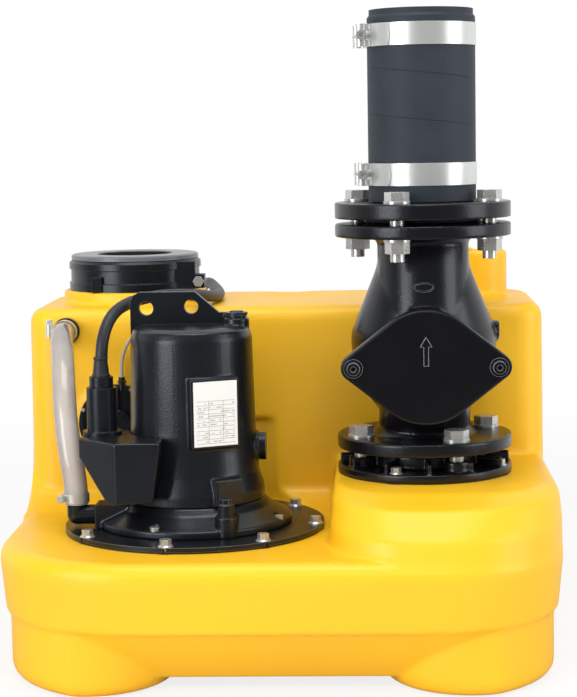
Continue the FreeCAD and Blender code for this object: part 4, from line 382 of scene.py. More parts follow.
@dataclass(frozen=True)
class Coating:
    """A painted, moulded, plated or bare surface with its grain, patches and soft edges, whose lighter
    edge colour is partly wear and partly a painted highlight.
    """

    name: str
    colour: Colour
    patch_colour: Colour
    # Lighter colour along the edges: partly wear, partly a painted highlight line along each edge.
    edge_colour: Colour
    roughness: float
    roughness_spread: float = 0.10
    grain_size: float = 1.5 * MM
    grain_depth: float = 0.05 * MM
    patch_size: float = 40.0 * MM
    edge_radius: float = 0.8 * MM
    edge_share: float = 0.3
    metallic: float = 0.0
    specular: float = 0.5
    specular_tint: Colour = (1.0, 1.0, 1.0)
    coat: float = 0.0
    coat_roughness: float = 0.12

    def material(self) -> bpy.types.Material:
        """Makes the material of this surface.

        Returns:
            The material.
        """
        made, sketch = blank_material("station_" + self.name)
        shader = sketch.add("BsdfPrincipled")
        shader.inputs["Metallic"].default_value = self.metallic
        shader.inputs["Specular IOR Level"].default_value = self.specular
        shader.inputs["Specular Tint"].default_value = (*self.specular_tint, 1.0)
        shader.inputs["Coat Weight"].default_value = self.coat
        shader.inputs["Coat Roughness"].default_value = self.coat_roughness
        grain = sketch.add("Group", node_tree=grain_group())
        grain.inputs["Grain Size"].default_value = self.grain_size
        grain.inputs["Patch Size"].default_value = self.patch_size
        edges = sketch.add("Group", node_tree=edge_group())
        edges.inputs["Radius"].default_value = self.edge_radius
        patches = sketch.blend(grain.outputs["Patches"], self.colour, self.patch_colour)
        # The edge mask paints the edge colour on: partly wear, partly painted highlight lines and glints.
        worn_and_highlit = sketch.math("MULTIPLY", edges.outputs["Edges"], self.edge_share)
        worn_and_highlit = sketch.math("MINIMUM", worn_and_highlit, 1.0)
        sketch.join(sketch.blend(worn_and_highlit, patches, self.edge_colour), shader.inputs["Base Color"])
        spread = sketch.math("MULTIPLY", grain.outputs["Patches"], self.roughness_spread)
        lowest = self.roughness - self.roughness_spread / 2
        sketch.join(sketch.math("ADD", spread, lowest), shader.inputs["Roughness"])
        bump = sketch.relief(grain.outputs["Height"], self.grain_depth, shader)
        sketch.join(edges.outputs["Normal"], bump.inputs["Normal"])
        sketch.show(shader)
        return made


@dataclass(frozen=True)
class TankPlastic:
    """Rotationally moulded polyethylene: warm yellow with a waxy skin and slight mottling."""

    name: str = "tank_yellow"
    colour: Colour = (0.94, 0.54, 0.015)
    deep_colour: Colour = (0.90, 0.48, 0.010)
    specular: float = 0.45
    cloud_size: float = 160.0 * MM
    smear_size: float = 30.0 * MM
    roughness: float = 0.33
    roughness_spread: float = 0.14
    peel_size: float = 3.5 * MM
    wave_size: float = 38.0 * MM
    wave_height: float = 6.0
    peel_depth: float = 0.06 * MM

    def material(self) -> bpy.types.Material:
        """Makes the material of the tank.

        Returns:
            The material.
        """
        made, sketch = blank_material("station_" + self.name)
        shader = sketch.add("BsdfPrincipled")
        shader.inputs["Specular IOR Level"].default_value = self.specular
        place = sketch.add("TexCoord").outputs["Object"]
        clouds = sketch.noise(place, self.cloud_size, detail=3.0)
        sketch.join(sketch.blend(clouds, self.colour, self.deep_colour), shader.inputs["Base Color"])
        gloss = sketch.math("MULTIPLY", sketch.noise(place, self.smear_size), self.roughness_spread)
        sketch.join(sketch.math("ADD", gloss, self.roughness), shader.inputs["Roughness"])
        peel = sketch.noise(place, self.peel_size)
        waves = sketch.math("MULTIPLY", sketch.noise(place, self.wave_size, detail=1.0), self.wave_height)
        sketch.relief(sketch.math("ADD", peel, waves), self.peel_depth, shader)
        sketch.show(shader)
        return made


@dataclass(frozen=True)
class ClearTube:
    """A soft clear hose, a little milky, that looks darker towards its two edges: a painted shade of
    seeing through its wall at a slant.
    """

    name: str = "clear_hose"
    colour: Colour = tone(214, 208, 204)
    # Darker colour towards the edges: a painted shade of looking through the wall at a slant.
    edge_colour: Colour = tone(132, 120, 112)
    clearness: float = 0.30
    roughness: float = 0.16
    refraction: float = 1.2
    coat_roughness: float = 0.10
    edge_width: float = 0.35
    cloud_size: float = 22.0 * MM
    cloud_share: float = 0.25
    haze_size: float = 6.0 * MM
    haze_share: float = 0.10

    def material(self) -> bpy.types.Material:
        """Makes the material of the hose.

        Returns:
            The material.
        """
        made, sketch = blank_material("station_" + self.name)
        shader = sketch.add("BsdfPrincipled")
        shader.inputs["Transmission Weight"].default_value = self.clearness
        shader.inputs["IOR"].default_value = self.refraction
        shader.inputs["Coat Weight"].default_value = 1.0
        shader.inputs["Coat Roughness"].default_value = self.coat_roughness
        facing = sketch.add("LayerWeight")
        facing.inputs["Blend"].default_value = self.edge_width
        place = sketch.add("TexCoord").outputs["Object"]
        cloud = sketch.math("MULTIPLY", sketch.noise(place, self.cloud_size), self.cloud_share)
        # Painted shade towards the edges as seen from the camera, with some random milky clouds.
        depth = sketch.math("MINIMUM", sketch.math("ADD", facing.outputs["Facing"], cloud), 1.0)
        sketch.join(sketch.blend(depth, self.colour, self.edge_colour), shader.inputs["Base Color"])
        haze = sketch.math("MULTIPLY", sketch.noise(place, self.haze_size), self.haze_share)
        sketch.join(sketch.math("ADD", haze, self.roughness), shader.inputs["Roughness"])
        sketch.show(shader)
        return made


@dataclass(frozen=True)
class SealRubber:
    """Near black smooth rubber of the inlet seal, dull and dark inside its bore; outside the bore it is
    painted mid grey, a painted reflection of the white surroundings at a grazing angle.
    """

    centre: Point
    bore_radius: float
    name: str = "seal_rubber"
    # A painted reflection: the rubber is near black, and this mid grey stands in for the white
    # surroundings mirrored at a grazing angle.
    colour: Colour = tone(104, 107, 112)
    bore_colour: Colour = tone(9, 9, 10)
    roughness: float = 0.24
    bore_dullness: float = 0.5
    smear_size: float = 25.0 * MM
    smear_share: float = 0.12
    grain_size: float = 1.4 * MM
    grain_depth: float = 0.04 * MM

    def material(self) -> bpy.types.Material:
        """Makes the material of the seal.

        Returns:
            The material.
        """
        made, sketch = blank_material("station_" + self.name)
        shader = sketch.add("BsdfPrincipled")
        place = sketch.centred(self.centre)
        split = sketch.parts(place)
        squares = [sketch.math("POWER", split[axis], 2.0) for axis in "XY"]
        flat = sketch.math("ADD", *squares)
        inside = sketch.math("LESS_THAN", flat, self.bore_radius ** 2)
        sketch.join(sketch.blend(inside, self.colour, self.bore_colour), shader.inputs["Base Color"])
        smear = sketch.math("MULTIPLY", sketch.noise(place, self.smear_size), self.smear_share)
        dull = sketch.math("ADD", sketch.math("MULTIPLY", inside, self.bore_dullness), self.roughness)
        sketch.join(sketch.math("ADD", smear, dull), shader.inputs["Roughness"])
        sketch.relief(sketch.noise(place, self.grain_size), self.grain_depth, shader)
        sketch.show(shader)
        return made


@dataclass(frozen=True)
class RuledPlate:
    """Satin white plate with a bare head and a faint ruled table under it."""

    centre: Point
    turn: float
    name: str = "plate_white"
    colour: Colour = tone(222, 223, 221)
    ink: Colour = tone(120, 123, 128)
    row_pitch: float = 4.7 * MM
    table_top: float = 15.0 * MM
    table_foot: float = -33.0 * MM
    table_half: float = 22.5 * MM
    columns: tuple[float, ...] = (-8.0 * MM, 9.0 * MM)
    column_half: float = 0.22 * MM
    rule_share: float = 0.09
    bar_share: float = 0.15
    bar_length: float = 7.0 * MM
    bar_gaps: float = 0.52
    bar_strength: float = 0.6
    roughness: float = 0.34
    smear_size: float = 12.0 * MM
    smear_share: float = 0.12

    def material(self) -> bpy.types.Material:
        """Makes the material of the plate.

        Returns:
            The material.
        """
        made, sketch = blank_material("station_" + self.name)
        shader = sketch.add("BsdfPrincipled")
        turned = sketch.add("Mapping")
        turned.inputs["Rotation"].default_value = (0.0, 0.0, -self.turn)
        place = sketch.centred(self.centre)
        sketch.join(place, turned.inputs["Vector"])
        split = sketch.parts(turned.outputs[0])
        across, rise = split["X"], split["Z"]
        cell = sketch.math("FRACT", sketch.math("DIVIDE", rise, self.row_pitch), 0.0)
        lines = sketch.math("LESS_THAN", cell, self.rule_share)
        for column in self.columns:
            aside = sketch.math("ABSOLUTE", sketch.math("SUBTRACT", across, column), 0.0)
            lines = sketch.math("MAXIMUM", lines, sketch.math("LESS_THAN", aside, self.column_half))
        off_middle = sketch.math("ABSOLUTE", sketch.math("SUBTRACT", cell, 0.5), 0.0)
        bar = sketch.math("LESS_THAN", off_middle, self.bar_share)
        pieces = sketch.noise(turned.outputs[0], self.bar_length, detail=1.0)
        broken = sketch.math("GREATER_THAN", pieces, self.bar_gaps)
        entries = sketch.math("MULTIPLY", sketch.math("MULTIPLY", bar, broken), self.bar_strength)
        drawn = sketch.math("MAXIMUM", lines, entries)
        below = sketch.math("LESS_THAN", rise, self.table_top)
        above = sketch.math("GREATER_THAN", rise, self.table_foot)
        within = sketch.math("LESS_THAN", sketch.math("ABSOLUTE", across, 0.0), self.table_half)
        area = sketch.math("MULTIPLY", sketch.math("MULTIPLY", below, above), within)
        sketch.join(sketch.blend(sketch.math("MULTIPLY", drawn, area), self.colour, self.ink),
                    shader.inputs["Base Color"])
        dull = sketch.math("MULTIPLY", sketch.noise(place, self.smear_size), self.smear_share)
        sketch.join(sketch.math("ADD", dull, self.roughness), shader.inputs["Roughness"])
        sketch.show(shader)
        return made


@dataclass(frozen=True)
class SleeveRubber:
    """Cloth-faced rubber of the discharge sleeve: fine cross ribs, faint wrap lines and dust."""

    centre: Point
    name: str = "black_rubber"
    colour: Colour = (0.016, 0.022, 0.032)
    dust: Colour = (0.028, 0.036, 0.050)
    seam: Colour = (0.010, 0.013, 0.020)
    specular: float = 0.35
    radius: float = 61.0 * MM
    rib_pitch: float = 2.2 * MM
    weft_share: float = 0.6
    weft_pitch_share: float = 0.8
    cloth_height: float = 0.35
    wrap_pitch: float = 104.0 * MM
    wrap_slant: float = 0.10
    lap_sharpness: float = 900.0
    lap_height: float = -2.0
    lap_share: float = 0.7
    fuzz_size: float = 4.0 * MM
    depth: float = 0.13 * MM
    patch_size: float = 26.0 * MM
    roughness: float = 0.50
    roughness_spread: float = 0.16

    def material(self) -> bpy.types.Material:
        """Makes the material of the sleeve.

        Returns:
            The material.
        """
        made, sketch = blank_material("station_" + self.name)
        shader = sketch.add("BsdfPrincipled")
        shader.inputs["Specular IOR Level"].default_value = self.specular
        place = sketch.centred(self.centre)
        split = sketch.parts(place)
        rise = split["Z"]
        around = sketch.math("MULTIPLY", sketch.math("ARCTAN2", split["Y"], split["X"]), self.radius)
        turns = 2 * math.pi / self.rib_pitch
        across = sketch.math("SINE", sketch.math("MULTIPLY", rise, turns), 0.0)
        along = sketch.math("SINE", sketch.math("MULTIPLY", around, turns * self.weft_pitch_share), 0.0)
        cloth = sketch.math("ADD", across, sketch.math("MULTIPLY", along, self.weft_share))
        slant = sketch.math("ADD", rise, sketch.math("MULTIPLY", around, self.wrap_slant))
        wrap = sketch.math("SINE", sketch.math("MULTIPLY", slant, 2 * math.pi / self.wrap_pitch), 0.0)
        lap = sketch.math("POWER", sketch.math("ABSOLUTE", wrap, 0.0), self.lap_sharpness)
        fuzz = sketch.noise(place, self.fuzz_size, detail=3.0)
        height = sketch.math("ADD", sketch.math("MULTIPLY", cloth, self.cloth_height),
                             sketch.math("MULTIPLY", lap, self.lap_height))
        sketch.relief(sketch.math("ADD", height, fuzz), self.depth, shader)
        patches = sketch.noise(place, self.patch_size, detail=4.0)
        face = sketch.blend(patches, self.colour, self.dust)
        seams = sketch.blend(sketch.math("MULTIPLY", lap, self.lap_share), face, self.seam)
        sketch.join(seams, shader.inputs["Base Color"])
        dull = sketch.math("MULTIPLY", patches, self.roughness_spread)
        sketch.join(sketch.math("ADD", dull, self.roughness), shader.inputs["Roughness"])
        sketch.show(shader)
        return made


class Slot(Enum):
    """The finishes of the station."""

    # The third colour of each coating is its lighter edge colour, partly wear and partly painted
    # highlight; edge_share sets how much of it shows.
    PUMP = Coating("pump_paint", tone(13, 14, 17), tone(19, 21, 25), tone(96, 102, 110),
                   roughness=0.31, grain_size=1.8 * MM, grain_depth=0.20 * MM, specular=0.50,
                   specular_tint=(0.78, 0.88, 1.0), coat=0.15, edge_share=1.0)
    PLATE = Coating("plate_paint", tone(13, 14, 17), tone(19, 21, 25), tone(118, 124, 132),
                    roughness=0.34, grain_size=1.8 * MM, grain_depth=0.16 * MM, specular=0.42,
                    specular_tint=(0.78, 0.88, 1.0), coat=0.10, edge_radius=1.1 * MM, edge_share=1.3)
    BLACK = Coating("black_paint", tone(11, 11, 14), tone(17, 17, 21), tone(84, 87, 92),
                    roughness=0.29, grain_size=2.6 * MM, grain_depth=0.20 * MM, specular=0.42,
                    specular_tint=(0.86, 0.92, 1.0), coat=0.12, edge_share=1.0)
    # The cover's bright edges are mostly painted highlight: light lines on the arrow and the cast ring,
    # glints round the screw heads.
    COVER = Coating("cover_paint", tone(9, 9, 12), tone(14, 14, 18), tone(168, 171, 178),
                    roughness=0.36, grain_size=2.6 * MM, grain_depth=0.10 * MM, specular=0.26,
                    specular_tint=(0.86, 0.92, 1.0), coat=0.05, edge_radius=0.9 * MM, edge_share=1.6)
    PLASTIC = Coating("black_plastic", tone(14, 16, 20), tone(20, 22, 27), tone(70, 76, 86),
                      roughness=0.27, grain_size=1.0 * MM, grain_depth=0.02 * MM, edge_radius=0.7 * MM,
                      specular=0.55, specular_tint=(0.80, 0.90, 1.0), edge_share=0.8)
    ZINC = Coating("zinc", tone(196, 198, 200), tone(214, 212, 204), tone(238, 239, 240),
                   roughness=0.28, grain_size=1.2 * MM, grain_depth=0.02 * MM, patch_size=9.0 * MM,
                   edge_radius=0.5 * MM, metallic=0.75)
    POLISHED = Coating("polished_steel", tone(226, 229, 228), tone(212, 214, 210), tone(240, 240, 240),
                       roughness=0.33, grain_size=0.8 * MM, grain_depth=0.01 * MM, patch_size=30.0 * MM,
                       edge_radius=0.4 * MM, metallic=0.72)
    STEEL = Coating("steel", tone(150, 152, 155), tone(130, 131, 134), tone(190, 191, 193),
                    roughness=0.34, grain_depth=0.02 * MM, metallic=1.0)
    IRON = Coating("cast_iron", tone(66, 66, 68), tone(50, 50, 52), tone(88, 88, 90),
                   roughness=0.55, grain_size=2.2 * MM, grain_depth=0.12 * MM)
    BRASS = Coating("brass", tone(196, 158, 84), tone(176, 138, 70), tone(222, 188, 120),
                    roughness=0.30, grain_depth=0.02 * MM, metallic=1.0)
    COPPER = Coating("copper", tone(184, 104, 62), tone(156, 82, 48), tone(210, 132, 92),
                     roughness=0.35, grain_size=1.0 * MM, metallic=1.0)
    CABLE = Coating("cable_rubber", tone(30, 32, 36), tone(38, 40, 44), tone(56, 58, 62),
                    roughness=0.46, grain_size=0.9 * MM, grain_depth=0.03 * MM, edge_share=0.0)
    GASKET = Coating("gasket_rubber", tone(20, 20, 21), tone(28, 28, 29), tone(36, 36, 37),
                     roughness=0.62, grain_depth=0.05 * MM, edge_share=0.0)
    TUBE = Coating("tube_grey", tone(186, 186, 182), tone(170, 170, 167), tone(200, 200, 198),
                   roughness=0.42, grain_size=1.0 * MM, grain_depth=0.02 * MM, edge_share=0.0)
    PIPE = Coating("pipe_grey", tone(120, 124, 128), tone(108, 112, 116), tone(140, 144, 148),
                   roughness=0.45, grain_depth=0.03 * MM)
    TIE = Coating("tie_black", tone(26, 26, 27), tone(34, 34, 35), tone(54, 54, 56),
                  roughness=0.50, grain_size=0.8 * MM, grain_depth=0.03 * MM)
    TANK = TankPlastic()
    HOSE = ClearTube()

    def material(self) -> bpy.types.Material:
        """The material of this finish, made on the first call."""
        made = bpy.data.materials.get("station_" + self.value.name)
        return made if made is not None else self.value.material()


NODE_FINISHES = {
    Slot.PUMP: ("oil_chamber", "motor_housing", "terminal_box"),
    Slot.PLATE: ("lifting_bracket", "lifting_screw", "oil_plugs", "pump_plate"),
    Slot.BLACK: ("tank_flange", "valve_body", "flange_stub"),
    Slot.COVER: ("valve_cover", "cover_screws"),
    Slot.PLASTIC: ("inlet_collar", "cable_connector", "connector_nut", "elbow_fitting", "hose_nipple",
                   "sensor_cover", "sensor_tube_fittings", "cable_plug"),
    Slot.ZINC: ("plate_bolts", "base_screws", "tank_flange_screws", "flange_bolts", "flange_washers",
                "flange_nuts", "clamp_bolts", "volute_screws", "sensor_cover_screws"),
    Slot.POLISHED: ("band_clamps", "hose_clamps", "shaft_bearings"),
    Slot.STEEL: ("rotor_shaft", "impeller_screw", "stator", "rotor_core", "flap_pin", "mechanical_seal"),
    Slot.IRON: ("bearing_bracket", "impeller", "volute", "back_plate"),
    Slot.BRASS: ("tank_inserts",),
    Slot.COPPER: ("stator_windings",),
    Slot.GASKET: ("plate_gasket", "tank_flange_gasket", "flange_gaskets", "cover_gasket", "valve_flap"),
    Slot.PIPE: ("discharge_pipe",),
    Slot.TIE: ("coil_tie",),
    Slot.TANK: ("tank",),
}


@dataclass
class StudioCamera:
    """The camera, where the photograph was taken: place and sensor in millimetres, angles in radians."""

    place: Point = (107.80, -2238.62, 597.90)
    focal_pixels: float = 1912.38
    dip: float = 0.111880
    turn: float = -0.044871
    lean: float = -0.017216
    sensor: float = 36.0

    def build(self) -> bpy.types.Object:
        """Makes the camera and hands it to the scene.

        Returns:
            The camera object.
        """
        data = bpy.data.cameras.new("studio_camera")
        data.sensor_width = self.sensor
        data.lens = self.sensor * self.focal_pixels / PHOTO_HEIGHT
        camera = bpy.data.objects.new("studio_camera", data)
        bpy.context.scene.collection.objects.link(camera)
        ahead = Vector((math.sin(self.turn) * math.cos(self.dip), math.cos(self.turn) * math.cos(self.dip),
                        -math.sin(self.dip)))
        level = Vector((math.cos(self.turn), -math.sin(self.turn), 0.0))
        above = level.cross(ahead)
        right = level * math.cos(self.lean) + above * math.sin(self.lean)
        up = above * math.cos(self.lean) - level * math.sin(self.lean)
        camera.matrix_world = Matrix.Translation(Vector(self.place) * MM) @ Matrix(
            (right, up, -ahead)).transposed().to_4x4()
        bpy.context.scene.camera = camera
        return camera


@dataclass(frozen=True)
class Lamp:
    """A soft lamp that looks at the middle of the object: metres and watts."""

    name: str
    place: Point
    size: tuple[float, float]
    power: float
    mirrored: bool = True
    target: Point = (0.0, 0.0, 0.30)

    def build(self) -> None:
        """Makes the lamp. Shiny surfaces don't show one that isn't mirrored."""
        data = bpy.data.lights.new(self.name, "AREA")
        data.shape = "RECTANGLE"
        data.size, data.size_y = self.size
        data.energy = self.power
        lamp = bpy.data.objects.new(self.name, data)
        bpy.context.scene.collection.objects.link(lamp)
        lamp.location = self.place
        lamp.visible_glossy = self.mirrored
        lamp.rotation_mode = "QUATERNION"
        lamp.rotation_quaternion = (Vector(self.target) - Vector(self.place)).to_track_quat("-Z", "Y")


@dataclass
class Studio:
    """Pale floor, white surroundings and soft lamps, in metres.

    The floor's shadow fades from open_from on, over open_over. Glossy surfaces mirror what is before
    them darker than what is behind, so that their blacks stay black.
    """

    floor_half: float = 6.0
    floor_tone: float = 0.84
    shadow_share: float = 0.18
    open_from: float = 0.9
    open_over: float = 1.1
    front_line: float = 0.7
    front_rate: float = 1.1
    world_light: float = 0.46
    mirror_front: float = 0.15
    mirror_back: float = 0.95
    back_offset: float = 0.25
    back_rate: float = 1.4
    lamps: tuple[Lamp, ...] = (
        Lamp("left_lamp", (-1.9, -2.0, 0.95), (1.3, 1.8), 38.0),
        Lamp("right_lamp", (2.4, -0.8, 0.95), (1.2, 1.8), 22.0),
        Lamp("top_lamp", (0.0, -0.5, 2.4), (1.6, 1.2), 24.0),
        Lamp("front_lamp", (0.3, -2.7, 2.1), (2.2, 0.9), 34.0, mirrored=False),
    )

    def build(self) -> None:
        """Makes the floor, the world and the lamps."""
        self.floor()
        self.world()
        for lamp in self.lamps:
            lamp.build()

    def floor(self) -> None:
        """A wide floor, near white to the camera, that keeps the object's shadow close to it."""
        half = self.floor_half
        mesh = bpy.data.meshes.new("studio_floor")
        mesh.from_pydata([(-half, -half, 0.0), (half, -half, 0.0), (half, half, 0.0), (-half, half, 0.0)],
                         [], [(0, 1, 2, 3)])
        floor = bpy.data.objects.new("studio_floor", mesh)
        bpy.context.scene.collection.objects.link(floor)
        material, sketch = blank_material("studio_floor")
        matt = sketch.add("BsdfDiffuse")
        matt.inputs["Color"].default_value = (self.floor_tone, self.floor_tone, self.floor_tone, 1.0)
        glow = sketch.add("Emission")
        rays = sketch.add("LightPath")
        seen = sketch.math("MAXIMUM", rays.outputs["Is Camera Ray"], rays.outputs["Is Glossy Ray"])
        seen = sketch.math("MAXIMUM", seen, rays.outputs["Is Transmission Ray"])
        place = sketch.add("TexCoord").outputs["Object"]
        reach = sketch.add("VectorMath", operation="LENGTH")
        sketch.join(place, reach.inputs[0])
        away = sketch.math("SUBTRACT", reach.outputs["Value"], self.open_from)
        far = sketch.within_one(sketch.math("DIVIDE", away, self.open_over))
        bare = sketch.math("ADD", sketch.math("MULTIPLY", far, self.shadow_share), 1.0 - self.shadow_share)
        ahead = sketch.math("SUBTRACT", self.front_line, sketch.parts(place)["Y"])
        front = sketch.within_one(sketch.math("MULTIPLY", ahead, self.front_rate))
        dimming = sketch.math("MULTIPLY", front, 1.0 - self.mirror_front)
        dimming = sketch.math("MULTIPLY", rays.outputs["Is Glossy Ray"], dimming)
        sketch.join(sketch.math("SUBTRACT", 1.0, dimming), glow.inputs["Strength"])
        mix = sketch.add("MixShader")
        sketch.join(sketch.math("MULTIPLY", seen, bare), mix.inputs["Fac"])
        sketch.join(matt.outputs[0], mix.inputs[1])
        sketch.join(glow.outputs[0], mix.inputs[2])
        sketch.show(mix)
        mesh.materials.append(material)

    def world(self) -> None:
        """White where the camera sees it, mirrored pale behind and darker in front, and a low fill."""
        world = bpy.data.worlds.new("studio_world")
        bpy.context.scene.world = world
        world.use_nodes = True
        world.node_tree.nodes.clear()
        sketch = ShaderTree(world.node_tree)
        rays = sketch.add("LightPath")
        clear = sketch.math("MAXIMUM", rays.outputs["Is Camera Ray"], rays.outputs["Is Transmission Ray"])
        way = sketch.parts(sketch.add("TexCoord").outputs["Generated"])
        behind = sketch.math("MULTIPLY", sketch.math("ADD", way["Y"], self.back_offset), self.back_rate)
        mirrored = sketch.math("MULTIPLY", sketch.within_one(behind), self.mirror_back - self.mirror_front)
        mirrored = sketch.math("ADD", mirrored, self.mirror_front - self.world_light)
        mirror = sketch.math("MULTIPLY", rays.outputs["Is Glossy Ray"], mirrored)
        level = sketch.math("MAXIMUM", clear, sketch.math("ADD", mirror, self.world_light))
        background = sketch.add("Background")
        background.inputs["Color"].default_value = (1.0, 1.0, 1.0, 1.0)
        sketch.join(level, background.inputs["Strength"])
        sketch.join(background.outputs[0], sketch.add("OutputWorld").inputs["Surface"])


@dataclass
class PowerCord:
    """The power cable: over the deck, down behind the tank, round its tied coil and out to its plug.

    Lengths are in millimetres, but for the stated length of the whole cable, which is in metres and is not
    used.
    """

    radius: float = 7.0
    length: float = 4.0
    lead_in: float = 33.0
    coil_centre: tuple[float, float] = (-60.0, 438.0)
    coil_turns: float = 2.5
    coil_radius: float = 84.0
    coil_pitch: float = 14.8
    coil_floor: float = 8.2
    stations_a_turn: int = 12
    rise: tuple[Point, ...] = (
        (-199.0, -116.0, 316.0), (-199.0, -116.0, 346.0), (-197.0, -107.0, 376.0), (-189.0, -86.0, 398.0),
        (-174.0, -56.0, 408.0), (-149.0, -23.0, 412.0), (-120.0, 11.0, 411.0), (-98.0, 50.0, 406.0),
        (-86.0, 96.0, 401.0), (-84.0, 146.0, 399.6), (-90.0, 194.0, 399.8), (-98.0, 236.0, 401.5),
        (-107.0, 270.0, 405.0), (-117.0, 303.0, 401.0), (-127.0, 331.0, 384.0), (-136.0, 350.0, 357.0),
        (-142.0, 359.0, 322.0), (-146.0, 360.0, 280.0), (-150.0, 354.0, 232.0), (-154.0, 346.0, 180.0),
        (-157.0, 338.0, 140.0), (-159.5, 335.0, 106.0), (-161.5, 340.0, 73.0), (-163.0, 353.0, 43.0),
        (-164.0, 375.0, 19.5),
    )
    tail: tuple[Point, ...] = (
        (56.0, 373.0, 20.0), (80.0, 350.0, 17.5), (110.0, 338.0, 20.4), (142.0, 338.0, 20.4),
    )

    def coil(self) -> list[Point]:
        """Points of the coil: it spirals in, climbs a layer in half a turn and spirals out.

        Returns:
            The points in millimetres.
        """
        start = self.coil_radius + self.coil_pitch * self.coil_turns / 2
        inward = self.coil_turns
        climb = 0.5
        total = 2 * inward + climb
        count = round(total * self.stations_a_turn)
        stretch = 1.0 / math.cos(math.pi / self.stations_a_turn)
        points = []
        for number in range(count + 1):
            turned = total * number / count
            if turned <= inward:
                radius, share = start - self.coil_pitch * turned, 0.0
            elif turned <= inward + climb:
                share = (turned - inward) / climb
                radius = start - self.coil_pitch * (inward + climb / 2 * math.sin(math.pi * share))
            else:
                radius, share = start - self.coil_pitch * (total - turned), 1.0
            swell = 1.0 if number in (0, count) else stretch
            angle = math.pi - turned * 2 * math.pi
            height = self.coil_floor + self.coil_pitch * (3 * share**2 - 2 * share**3)
            points.append((self.coil_centre[0] + radius * swell * math.cos(angle),
                           self.coil_centre[1] + radius * swell * math.sin(angle), height))
        return points

    def build(self) -> None:
        coil = self.coil()
        first, last = coil[0], coil[-1]
        lead = (first[0], first[1] - self.lead_in, first[2])
        leave = (last[0], last[1] - self.lead_in, last[2])
        points = metres([*self.rise, lead, *coil, leave, *self.tail])
        cable = spline_piece("power_cord", points, self.radius * MM)
        dress(cable, Slot.CABLE.material())
        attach(cable, "root")
        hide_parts("power_cable", "cable_coil", "cable_tail")


@dataclass
class Tubes:
    """The clear vent hose and the thin grey sensor tube, held at their two ends, in millimetres."""

    hose_radius: float = 13.5
    sensor_radius: float = 2.0
    hose_route: tuple[Point, ...] = (
        (-230.8, -116.0, 185.3), (-230.8, -116.0, 207.0), (-236.5, -114.0, 240.0), (-243.0, -103.0, 282.0),
        (-247.0, -82.0, 318.0), (-252.5, -50.0, 345.0), (-258.5, -18.0, 361.0), (-262.0, 10.0, 366.0),
        (-262.0, 35.8, 366.0),
    )
    sensor_route: tuple[Point, ...] = (
        (-196.0, 36.0, 309.0), (-196.0, 36.0, 322.0), (-193.5, 33.0, 337.0), (-187.0, 27.0, 352.0),
        (-178.0, 19.0, 362.5), (-166.5, 14.5, 370.0), (-155.5, 19.0, 373.0), (-150.0, 30.5, 372.0),
        (-150.0, 43.0, 372.0),
    )

    def build(self) -> None:
        """Makes both tubes over their CAD nodes."""
        hose = spline_piece("vent_hose_tube", metres(self.hose_route), self.hose_radius * MM)
        dress(hose, Slot.HOSE.material())
        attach(hose, "root")
        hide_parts("vent_hose")
        sensor = spline_piece("sensor_line", metres(self.sensor_route), self.sensor_radius * MM)
        dress(sensor, Slot.TUBE.material())
        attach(sensor, "root")
        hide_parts("sensor_tube")


@dataclass(frozen=True)
class Softened:
    """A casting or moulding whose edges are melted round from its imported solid, in millimetres."""

    node: str
    finish: Slot
    voxel: float
    passes: int
    share: float
    weld: float = 0.002
    pull: float = 0.5
    body: str = "root"

    def build(self) -> bpy.types.Object:
        """Copies the node, rounds all its edges and stands the copy in its place.

        Returns:
            The new piece.
        """
        source = frame_nodes()[self.node]
        piece = bpy.data.objects.new("soft_" + self.node, source.data.copy())
        bpy.context.scene.collection.objects.link(piece)
        pick(piece)
        bpy.ops.object.mode_set(mode="EDIT")
        bpy.ops.mesh.select_all(action="SELECT")
        bpy.ops.mesh.remove_doubles(threshold=self.weld * MM)
        bpy.ops.object.mode_set(mode="OBJECT")
        remesh = piece.modifiers.new("remesh", "REMESH")
        remesh.mode = "VOXEL"
        remesh.voxel_size = self.voxel * MM
        bpy.ops.object.modifier_apply(modifier="remesh")
        smooth = piece.modifiers.new("smooth", "SMOOTH")
        smooth.factor = self.pull
        smooth.iterations = self.passes
        bpy.ops.object.modifier_apply(modifier="smooth")
        if self.share < 1.0:
            thin = piece.modifiers.new("thin", "DECIMATE")
            thin.ratio = self.share
            bpy.ops.object.modifier_apply(modifier="thin")
        bpy.ops.object.shade_smooth()
        dress(piece, self.finish.material())
        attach(piece, self.body)
        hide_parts(self.node)
        return piece


SOFT_PARTS = (
    Softened("tank", Slot.TANK, voxel=3.3, passes=5, share=0.30),
    Softened("motor_housing", Slot.PUMP, voxel=1.3, passes=4, share=0.45),
    Softened("oil_chamber", Slot.PUMP, voxel=1.3, passes=3, share=0.45),
    Softened("terminal_box", Slot.PUMP, voxel=1.1, passes=12, share=0.5),
    Softened("valve_body", Slot.BLACK, voxel=1.9, passes=4, share=0.45),
    Softened("tank_flange", Slot.BLACK, voxel=1.5, passes=3, share=0.4),
    Softened("flange_stub", Slot.BLACK, voxel=1.4, passes=4, share=0.4),
)


